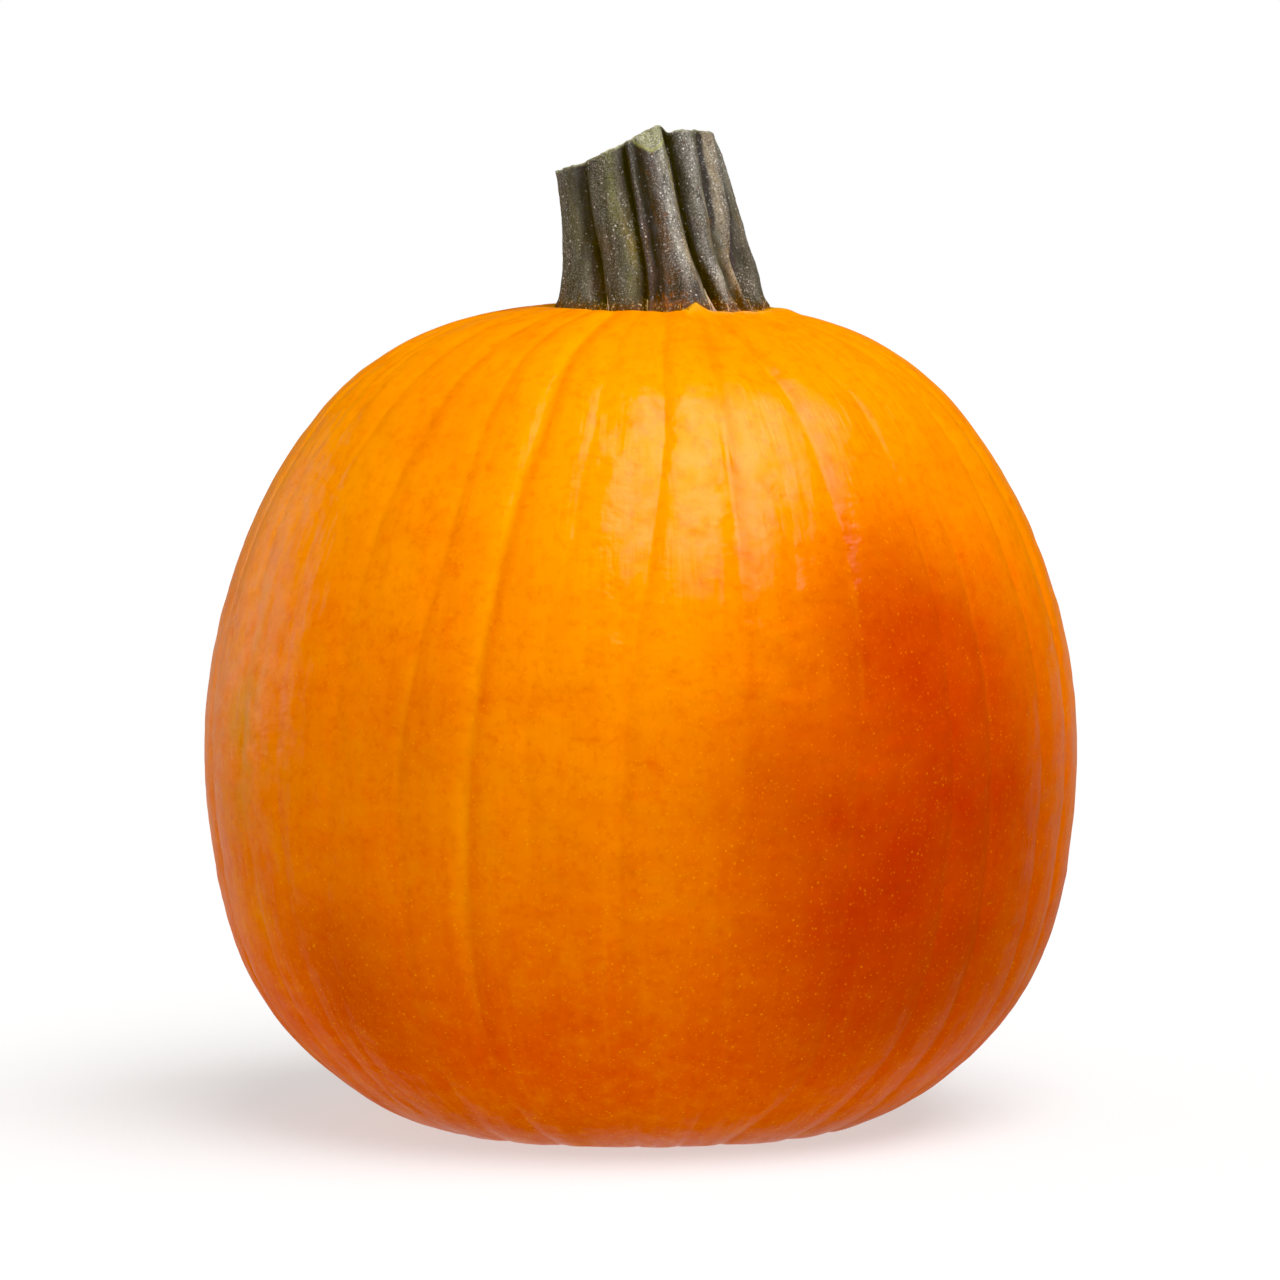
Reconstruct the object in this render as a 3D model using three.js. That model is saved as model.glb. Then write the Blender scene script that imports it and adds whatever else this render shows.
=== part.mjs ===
// Pumpkin: the ripe fruit and its cut stalk, two closed solids.
// Millimetres, +Z up. It stands on z = 0, on the flattened ring round its blossom end.
import * as THREE from 'three';

// ---------------------------------------------------------------- driving dimensions
// Profile of the fruit: distance from the point on its axis at AXIS_Z, against latitude
const AXIS_Z = 106.8;
const LATITUDE = [-90, -80, -72, -64, -56, -48, -40, -32, -24, -16, -8, 0, 8, 16, 24, 32, 40, 48, 56, 64, 72, 80, 90];
const PROFILE = [98.0, 103.5, 111.9, 120.2, 123.6, 124.69, 125.08, 123.76, 121.08, 118.16, 116.32, 115.13,
  114.3, 113.97, 114.32, 115.2, 116.37, 117.51, 117.21, 115.67, 113.4, 111.61, 109.84];

const SEAT_X = 6.0;             // the stalk stands this far to one side of the fruit's axis
const SEAT_Z = 215.4;           // height of the small flat spot the stalk grows from
const SEAT_R = 29.5;            // radius of that spot
const SEAT_BLEND = 8;           // width of the skin's run-out from it
const STALK_GAP = 0.3;          // clear gap between the two solids

const SCAR_R = 11;              // radius of the corky blossom scar under the fruit
const SCAR_PROUD = 1.1;         // how far it stands out of its dimple

// Grooves between the ribs: depth, width, latitudes it fades in over (null: full length),
// and its direction in degrees from the front (-Y) at each of GROOVE_LAT.
const GROOVE_LAT = [-90, -70, -58, -45, -35, -25, -15, -5, 5, 15, 25, 35, 45, 55, 66, 80];
const GROOVES = [
  [0.45, 1.8, null, [-70, -66, -64, -62, -62, -62, -62, -63, -63.2, -64.5, -67, -67.8, -66.6, -67, -74, -80]],
  [0.2, 1.4, [12, 30], [-62, -59.5, -59.8, -58, -58, -58.3, -58.6, -59, -59.4, -60, -60.6, -61.6, -61.5, -63.6, -66, -70]],
  [0.42, 1.8, null, [-56, -56, -56.5, -53.5, -53.2, -53.3, -53.5, -53.8, -54, -54, -54.6, -54, -52.2, -51.5, -55, -60]],
  [0.36, 1.6, null, [-48, -50, -49.6, -48.4, -47.4, -46, -44.4, -43, -42.4, -42, -41.8, -41, -39.4, -39.2, -41, -46]],
  [0.55, 1.6, null, [-34, -35, -35, -34, -33.2, -32.4, -32.2, -32.2, -31.3, -30, -28.8, -28.1, -27.8, -28.2, -30, -35]],
  [1.05, 2, null, [-18, -19.5, -21.4, -23.8, -23.4, -23.1, -22.9, -22.4, -21.7, -21, -20, -19, -17.4, -17.6, -19, -25]],
  [0.3, 1.3, [-30, -8], [-8, -10, -11.5, -12.6, -13, -13.4, -13.8, -14.2, -14.4, -12.6, -9.8, -8.8, -7.6, -7.2, -8, -11]],
  [1, 1.7, null, [4, 1, -1.2, -2.1, -2.5, -2.7, -2.8, -2.3, -1.9, -0.7, 1.3, 2.8, 4.3, 4.2, 2.6, 0]],
  [0.9, 1.6, null, [10, 9.6, 10.2, 11.8, 12.2, 12.2, 12.4, 12.8, 13.2, 13.7, 14, 14, 14.5, 14.7, 13.8, 11]],
  [0.15, 1.3, [-26, -10], [16, 15.5, 16.4, 18, 18, 18, 18.4, 19.4, 19.8, 20.6, 21.8, 22.8, 22.4, 21.4, 17.5, 15.5]],
  [1.2, 2, null, [24, 21.5, 21.8, 27.4, 27.6, 27.2, 27.3, 28, 29.3, 30, 30.2, 30, 29.5, 27, 21.5, 19]],
  [0.9, 1.7, null, [40, 40, 40.5, 42, 42.5, 43, 43.4, 43.6, 43.8, 44, 44, 44, 44, 41.5, 37, 33]],
  [1.3, 1.9, null, [56, 55, 54.6, 52.4, 52, 51.8, 51.6, 51.4, 51.2, 51.2, 51.2, 50.6, 50.2, 50.8, 50, 46]],
  [0.8, 1.6, null, [68, 67, 66, 65.4, 65, 64.6, 64.4, 64.2, 64.2, 64.4, 64.6, 65, 65.4, 64, 62, 60]],
  [1.2, 1.8, null, [78, 77, 76, 75.4, 75, 74.8, 74.8, 75, 75.4, 76, 76.4, 76.6, 76.4, 75.6, 74, 73]],
  [0.5, 1.5, null, [89.7, 89.8, 89.7, 89.6, 89.5, 89.2, 88.9, 88.5, 88, 87.6, 87.1, 86.7, 86.4, 86.1, 85.9, 85.8]],
  [1.5, 1.9, null, [98.1, 99.1, 99.4, 99.6, 99.6, 99.4, 99.2, 98.9, 98.6, 98.4, 98.3, 98.3, 98.4, 98.7, 99.2, 99.9]],
  [0.7, 1.6, null, [111, 110.7, 110.4, 109.9, 109.6, 109.3, 109.1, 109, 109, 109.2, 109.5, 109.8, 110.2, 110.5, 110.8, 111]],
  [1.1, 1.7, null, [122.4, 122.2, 122.1, 121.9, 121.7, 121.6, 121.6, 121.6, 121.6, 121.7, 121.9, 122, 122.2, 122.3, 122.4, 122.4]],
  [0.5, 1.5, null, [132.6, 132.1, 131.6, 131.1, 130.7, 130.3, 130.1, 130, 130, 130.2, 130.4, 130.7, 131, 131.3, 131.5, 131.5]],
  [1.4, 1.9, null, [141.3, 141.2, 141.3, 141.4, 141.5, 141.8, 142.2, 142.6, 143, 143.5, 143.9, 144.3, 144.6, 144.9, 145.1, 145.1]],
  [0.8, 1.6, null, [152.3, 152.3, 152.5, 153, 153.5, 154.1, 154.8, 155.4, 155.9, 156.4, 156.7, 156.9, 156.9, 156.9, 156.7, 156.5]],
  [1.2, 1.8, null, [162.7, 162.8, 163, 163.3, 163.6, 164, 164.5, 165, 165.4, 165.8, 166.2, 166.5, 166.7, 166.8, 166.9, 166.9]],
  [0.5, 1.5, null, [174, 173.8, 173.9, 174.1, 174.4, 174.9, 175.3, 175.9, 176.4, 176.9, 177.3, 177.6, 177.8, 178, 178, 177.9]],
  [1.5, 1.9, null, [186.7, 187.2, 187.5, 187.8, 187.9, 188, 188.1, 188.1, 188.1, 188.1, 188.1, 188.1, 188.2, 188.3, 188.5, 188.9]],
  [0.7, 1.6, null, [200.4, 200.1, 199.9, 199.7, 199.5, 199.4, 199.2, 199.1, 198.9, 198.8, 198.6, 198.5, 198.3, 198.2, 198, 197.8]],
  [1, 1.7, null, [207.8, 208, 208.1, 208.2, 208.3, 208.3, 208.3, 208.3, 208.2, 208.1, 208, 207.9, 207.8, 207.7, 207.6, 207.6]],
  [1.4, 1.9, null, [218.5, 218.6, 218.7, 218.9, 219.2, 219.5, 219.7, 220, 220.3, 220.6, 220.8, 220.9, 221, 221.1, 221.1, 221.1]],
  [0.5, 1.5, null, [231.2, 230.9, 230.7, 230.5, 230.3, 230.2, 230.1, 230, 229.9, 229.8, 229.7, 229.6, 229.5, 229.4, 229.3, 229.2]],
  [0.9, 1.7, null, [241.3, 241.3, 241.3, 241.3, 241.4, 241.5, 241.7, 241.8, 242, 242.2, 242.4, 242.6, 242.7, 242.8, 242.8, 242.8]],
  [1.5, 1.9, null, [251.8, 252.2, 252.4, 252.6, 252.8, 252.9, 253, 253.1, 253.1, 253.2, 253.2, 253.3, 253.3, 253.4, 253.6, 253]],
  [0.6, 1.5, null, [264.2, 264.3, 264.3, 264.3, 264.2, 264, 263.8, 263.4, 263.1, 262.7, 262.3, 262, 261.7, 261.5, 261.3, 259.5]],
  [1.1, 1.7, null, [274.4, 274.5, 274.5, 274.5, 274.4, 274.3, 274.2, 274, 273.9, 273.7, 273.6, 273.5, 273.5, 273.5, 272, 266]],
  [0.8, 1.6, null, [282.5, 285.4, 285.5, 285.2, 284.9, 284.5, 284, 283.6, 283.2, 282.9, 282.7, 282.7, 282.8, 283.1, 278.5, 272.5]],
];
const LOBE_SWELL = 0.30;        // how far a rib of ordinary width swells between its grooves

// Stalk: centre line and crest radius against height
const STALK_H = [215.4, 217.9, 224, 230, 238, 246, 252, 258, 264, 270];
const STALK_X = [6.0, 5.9, 5.75, 4.8, 3.2, 1.6, 0.4, -0.7, -1.8, -2.9];
const STALK_R = [28.3, 27.5, 26.6, 25.4, 24.3, 23.2, 22.6, 22.0, 21.4, 20.8];
// Stalk grooves: direction at each share of the stalk's height, depth, and how much of it is left at the top
const STALK_T = [0, 0.12, 0.3, 0.55, 0.8, 1];
const STALK_GROOVES = [
  [[-36, -39.5, -43.5, -47.5, -48.5, -48.5], 3.6, 1],
  [[-9.8, -10.2, -10.8, -11, -10.8, -10.5], 3.3, 1],
  [[-3.8, -3.6, -3.5, -3, -2.5, -2], 1.8, 0.7],
  [[32, 27.5, 22.5, 22.6, 24.3, 23.2], 4.2, 1],
  [[48, 43.5, 38.5, 44, 49.5, 53], 2.4, 1.1],
  [[56, 50.5, 50, 63.5, 71, 75], 2.6, 0.35],
  [[98, 97, 96, 96, 97, 98], 2.6, 1],
  [[118, 117, 116, 116, 116, 117], 2.4, 1],
  [[138, 137, 136, 135, 134, 134], 3.2, 1],
  [[155, 154.5, 154, 154, 153.5, 153], 2, 0.8],
  [[176, 175.5, 175, 174, 173, 173], 3.6, 1],
  [[197, 197, 196.5, 196, 195, 194], 2.4, 1],
  [[219, 219, 219, 218.5, 217, 216], 3.2, 1],
  [[240, 239.5, 239, 238, 237, 236], 2.2, 0.9],
  [[259, 258, 257, 255.5, 254, 253], 2.8, 1],
];
// height of the knife cut across its top, against x
const CUT_X = [-30, -22.3, -14.2, -5, 2.5, 4.4, 5.6, 6.8, 10, 17, 19.5, 22, 30];
const CUT_Z = [248.5, 251.9, 254.0, 258.25, 262.2, 263.05, 262.9, 261.5, 262.0, 262.1, 261.0, 257.0, 250];
const CUT_FALL = 0.06;          // the cut falls this much per millimetre towards the back

// mesh resolution
const PER_RIB = 4;              // columns from one groove to the next
const ROWS = [-84, -79, -74.5, -70.2, -66, -62, -57, -50, -43, -36, -28, -20, -11, -2, 7, 16, 25, 34, 42, 50, 57, 63, 68, 72, 75.2];
const STALK_COLS = 90;
const STALK_ROWS = 8;

// the whole part's box is centred on the origin
const CENTRE = [-0.102, 0.089];

// ---------------------------------------------------------------- helpers
const rad = Math.PI / 180;
const clamp = (v, a, b) => Math.min(b, Math.max(a, v));
const smooth = (a, b, x) => { const t = clamp((x - a) / (b - a), 0, 1); return t * t * (3 - 2 * t); };
function curve(x, xs, ys) {
  const n = xs.length;
  const v = clamp(x, xs[0], xs[n - 1]);
  let k = 0;
  while (k < n - 2 && v > xs[k + 1]) k++;
  const m = (i) => (i === 0 || i === n - 1 ? 0 : (ys[i + 1] - ys[i - 1]) / (xs[i + 1] - xs[i - 1]));
  const h = xs[k + 1] - xs[k], t = (v - xs[k]) / h;
  return (2 * t ** 3 - 3 * t * t + 1) * ys[k] + (t ** 3 - 2 * t * t + t) * h * m(k)
    + (-2 * t ** 3 + 3 * t * t) * ys[k + 1] + (t ** 3 - t * t) * h * m(k + 1);
}

// ---------------------------------------------------------------- fruit
const polar = (lat) => curve(lat, LATITUDE, PROFILE);
const crown = [];               // crown of the profile: radius against height
for (let i = 0; i <= 650; i++) {
  const lat = 90 - i * 0.1;
  crown.push([polar(lat) * Math.cos(lat * rad), AXIS_Z + polar(lat) * Math.sin(lat * rad)]);
}
function crownZ(r) {
  let i = 0;
  while (i < crown.length - 2 && crown[i + 1][0] < r) i++;
  const [r0, z0] = crown[i], [r1, z1] = crown[i + 1];
  return z0 + (z1 - z0) * clamp((r - r0) / (r1 - r0), 0, 1);
}
function smoothSkin(lat, dir) {
  const rho = polar(lat);
  const r = rho * Math.cos(lat * rad);
  let x = r * Math.sin(dir * rad), y = -r * Math.cos(dir * rad), z = AXIS_Z + rho * Math.sin(lat * rad);
  if (lat > 50) {               // the ribs run in to the stalk, which is off the axis
    x += SEAT_X * smooth(50, 76, lat);
    z = crownZ(Math.hypot(x, y));
    const s = 1 - smooth(SEAT_R, SEAT_R + SEAT_BLEND, r);
    z = z * (1 - s) + SEAT_Z * s;
  }
  return new THREE.Vector3(x, y, z);
}
const grooveDir = (i, lat) => {
  const n = GROOVES.length, k = ((i % n) + n) % n;
  return curve(lat, GROOVE_LAT, GROOVES[k][3]) + 360 * Math.floor(i / n);
};
function grooveDepth(lat, dir) {
  const r = polar(lat) * Math.cos(lat * rad);
  const mm = Math.max(r, 1) * rad;
  const ends = smooth(SEAT_R + 0.5, SEAT_R + 9, lat > 0 ? r : 999) * smooth(12, 30, lat < 0 ? r : 999)
    * (lat < -40 ? 1 - 0.25 * smooth(-40, -60, lat) : 1);
  const broad = 1.0 + 3.6 * clamp(r / 115, 0, 1);
  let d = 0;
  for (let i = 0; i < GROOVES.length; i++) {
    const [depth, width, fade] = GROOVES[i];
    let off = (dir - grooveDir(i, lat)) % 360;
    if (off > 180) off -= 360;
    if (off < -180) off += 360;
    const s = Math.abs(off) * mm;
    if (s > 40) continue;
    const a = depth * ends * (fade ? smooth(fade[0], fade[1], lat) : 1);
    d += 0.66 * a * (0.86 * Math.exp(-(Math.sqrt((s / width) ** 2 + 0.09) - 0.3)) + 0.14 * Math.exp(-((s / broad) ** 2)));
  }
  return { d, ends };
}
function skin(i, t, lat) {      // t from 0 at groove i to 1 at the next
  const a = grooveDir(i, lat), b = grooveDir(i + 1, lat);
  const u = t - 0.7 * Math.sin(2 * Math.PI * t) / (2 * Math.PI);
  const dir = a + (b - a) * u;
  const p = smoothSkin(lat, dir);
  const e = 0.4;
  const du = smoothSkin(lat, dir + e).sub(smoothSkin(lat, dir - e));
  const dv = smoothSkin(Math.min(lat + e, 89.9), dir).sub(smoothSkin(lat - e, dir));
  const nrm = du.cross(dv).normalize();
  const { d, ends } = grooveDepth(lat, dir);
  const swell = LOBE_SWELL * Math.min((b - a) / 11, 1.3) ** 1.6 * Math.sin(Math.PI * u) * ends * smooth(20, 80, Math.hypot(p.x, p.y));
  p.addScaledVector(nrm, swell - d);
  if (lat < -78) {              // the corky scar
    const rr = Math.hypot(p.x, p.y);
    p.z -= SCAR_PROUD * (1 - smooth(SCAR_R - 1.5, SCAR_R + 1.5, rr));
  }
  p.z = Math.max(p.z, 0);       // flattened where it lay on the ground
  return p;
}
function closed(positions, faces) {
  const g = new THREE.BufferGeometry();
  g.setAttribute('position', new THREE.Float32BufferAttribute(positions, 3));
  g.setIndex(faces);
  g.computeVertexNormals();
  return g;
}
function fruitGeometry() {
  const cols = GROOVES.length * PER_RIB;
  const pos = [], idx = [];
  const put = (p) => { pos.push(p.x - CENTRE[0], p.y - CENTRE[1], p.z); return pos.length / 3 - 1; };
  const bottomP = smoothSkin(-90, 0);
  bottomP.z -= SCAR_PROUD;
  const bottom = put(bottomP);
  const rings = ROWS.map((lat) => {
    const ring = [];
    for (let c = 0; c < cols; c++) ring.push(put(skin(Math.floor(c / PER_RIB), (c % PER_RIB) / PER_RIB, lat)));
    return ring;
  });
  const top = put(new THREE.Vector3(SEAT_X, 0, SEAT_Z));
  for (let c = 0; c < cols; c++) {
    const n = (c + 1) % cols;
    idx.push(bottom, rings[0][n], rings[0][c]);
    for (let r = 0; r < rings.length - 1; r++) {
      const a = rings[r][c], b = rings[r][n], d = rings[r + 1][c], e = rings[r + 1][n];
      // the shorter diagonal, so that the flats stay flat
      idx.push(a, b, e, a, e, d);
    }
    idx.push(top, rings[rings.length - 1][c], rings[rings.length - 1][n]);
  }
  return closed(pos, idx);
}

// ---------------------------------------------------------------- stalk
function stalkGroove(i, t) {
  const n = STALK_GROOVES.length, k = ((i % n) + n) % n;
  const g = STALK_GROOVES[k];
  return curve(t, STALK_T, g[0]) + 360 * Math.floor(i / n);
}
const stalkDepth = (i, t) => {
  const g = STALK_GROOVES[((i % STALK_GROOVES.length) + STALK_GROOVES.length) % STALK_GROOVES.length];
  return g[1] * (1 + (g[2] - 1) * t);
};
const cutZ = (x, y) => curve(x, CUT_X, CUT_Z) - CUT_FALL * (y + 22);
function stalkPoint(dir, z) {
  const t = clamp((z - STALK_H[0]) / 46, 0, 1);
  const n = STALK_GROOVES.length;
  let i = -2;
  while (i < n + 2 && !(dir >= stalkGroove(i, t) && dir < stalkGroove(i + 1, t))) i++;
  const a = stalkGroove(i, t), b = stalkGroove(i + 1, t);
  const s = (dir - a) / (b - a);
  const depth = stalkDepth(i, t) * (1 - s) + stalkDepth(i + 1, t) * s;
  const r = curve(z, STALK_H, STALK_R) - depth * Math.abs(2 * s - 1) ** 2.2;
  const cx = curve(z, STALK_H, STALK_X);
  return new THREE.Vector3(cx + r * Math.sin(dir * rad), -r * Math.cos(dir * rad), z);
}
function stalkGeometry() {
  const pos = [], idx = [];
  const put = (x, y, z) => { pos.push(x - CENTRE[0], y - CENTRE[1], z); return pos.length / 3 - 1; };
  const foot = SEAT_Z + STALK_GAP;
  const rims = [];
  const rings = [];
  for (let r = 0; r <= STALK_ROWS; r++) rings.push([]);
  for (let c = 0; c < STALK_COLS; c++) {
    const dir = (360 * c) / STALK_COLS - 45;
    let zr = 258;
    for (let k = 0; k < 12; k++) { const p = stalkPoint(dir, zr); zr = 0.5 * zr + 0.5 * cutZ(p.x, p.y); }
    for (let r = 0; r <= STALK_ROWS; r++) {
      const f = r / STALK_ROWS;
      const p = stalkPoint(dir, foot + (zr - foot) * (0.35 * f * f + 0.65 * f));
      rings[r].push(put(p.x, p.y, p.z));
      if (r === STALK_ROWS) rims.push(p);
    }
  }
  const cap = [0.62, 0.3].map((k) => rims.map((p) => {
    const cx = curve(260, STALK_H, STALK_X);
    const x = cx + (p.x - cx) * k, y = p.y * k;
    return put(x, y, cutZ(x, y) - 0.8 * (1 - k));
  }));
  const cx = curve(260, STALK_H, STALK_X);
  const top = put(cx, 0, cutZ(cx, 0) - 1.2);
  const bottom = put(STALK_X[0], 0, foot);
  const all = rings.concat(cap);
  for (let c = 0; c < STALK_COLS; c++) {
    const n = (c + 1) % STALK_COLS;
    idx.push(bottom, rings[0][n], rings[0][c]);
    for (let r = 0; r < all.length - 1; r++) {
      const a = all[r][c], b = all[r][n], d = all[r + 1][c], e = all[r + 1][n];
      idx.push(a, b, e, a, e, d);
    }
    idx.push(top, all[all.length - 1][c], all[all.length - 1][n]);
  }
  return closed(pos, idx);
}

// ---------------------------------------------------------------- the part
const part = new THREE.Group();
part.name = 'pumpkin';
const fruit = new THREE.Mesh(fruitGeometry(), new THREE.MeshStandardMaterial({ color: 0xe8780f, roughness: 0.38, metalness: 0 }));
fruit.name = 'fruit';
const stem = new THREE.Mesh(stalkGeometry(), new THREE.MeshStandardMaterial({ color: 0x4b4a3c, roughness: 0.75, metalness: 0 }));
stem.name = 'stem';
part.add(fruit, stem);

export default part;
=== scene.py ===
import math

import bpy
import mathutils
import mathutils.kdtree
import numpy as np
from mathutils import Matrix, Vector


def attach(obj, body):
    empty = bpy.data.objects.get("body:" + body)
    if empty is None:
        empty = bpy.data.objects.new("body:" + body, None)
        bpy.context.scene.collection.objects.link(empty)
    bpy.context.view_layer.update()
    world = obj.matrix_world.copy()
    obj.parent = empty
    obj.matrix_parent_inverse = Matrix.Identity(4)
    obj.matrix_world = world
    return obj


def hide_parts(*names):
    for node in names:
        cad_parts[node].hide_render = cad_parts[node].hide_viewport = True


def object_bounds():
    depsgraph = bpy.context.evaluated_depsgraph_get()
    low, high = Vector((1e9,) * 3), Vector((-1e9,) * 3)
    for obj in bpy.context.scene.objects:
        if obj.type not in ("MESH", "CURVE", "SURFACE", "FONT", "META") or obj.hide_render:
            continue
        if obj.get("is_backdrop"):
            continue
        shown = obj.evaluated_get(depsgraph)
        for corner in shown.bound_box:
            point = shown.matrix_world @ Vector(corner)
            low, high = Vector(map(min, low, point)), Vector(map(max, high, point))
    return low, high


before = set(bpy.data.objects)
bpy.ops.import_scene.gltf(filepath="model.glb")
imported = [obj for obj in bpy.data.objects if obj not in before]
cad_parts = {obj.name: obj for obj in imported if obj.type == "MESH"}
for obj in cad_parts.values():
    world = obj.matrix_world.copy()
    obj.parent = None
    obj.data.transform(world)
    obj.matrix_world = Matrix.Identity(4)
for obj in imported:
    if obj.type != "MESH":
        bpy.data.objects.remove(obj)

CAD_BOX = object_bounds()
MM = 0.001

# ------------------------------------------------------------------ shape tables (millimetres, degrees)
# The same curves as the CAD solids, so that the detailed surfaces lie on them.
AXIS_Z = 106.8
LATITUDE = [-90, -80, -72, -64, -56, -48, -40, -32, -24, -16, -8, 0, 8, 16, 24, 32, 40, 48, 56, 64, 72, 80, 90]
PROFILE = [98.0, 103.5, 111.9, 120.2, 123.6, 124.69, 125.08, 123.76, 121.08, 118.16, 116.32, 115.13,
           114.3, 113.97, 114.32, 115.2, 116.37, 117.51, 117.21, 115.67, 113.4, 111.61, 109.84]
SEAT_X, SEAT_Z, SEAT_R, SEAT_BLEND = 6.0, 215.4, 29.5, 8.0
SCAR_R, SCAR_PROUD = 11.0, 1.1
CENTRE = (-0.102, 0.089)
GROOVE_LAT = [-90, -70, -58, -45, -35, -25, -15, -5, 5, 15, 25, 35, 45, 55, 66, 80]
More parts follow.
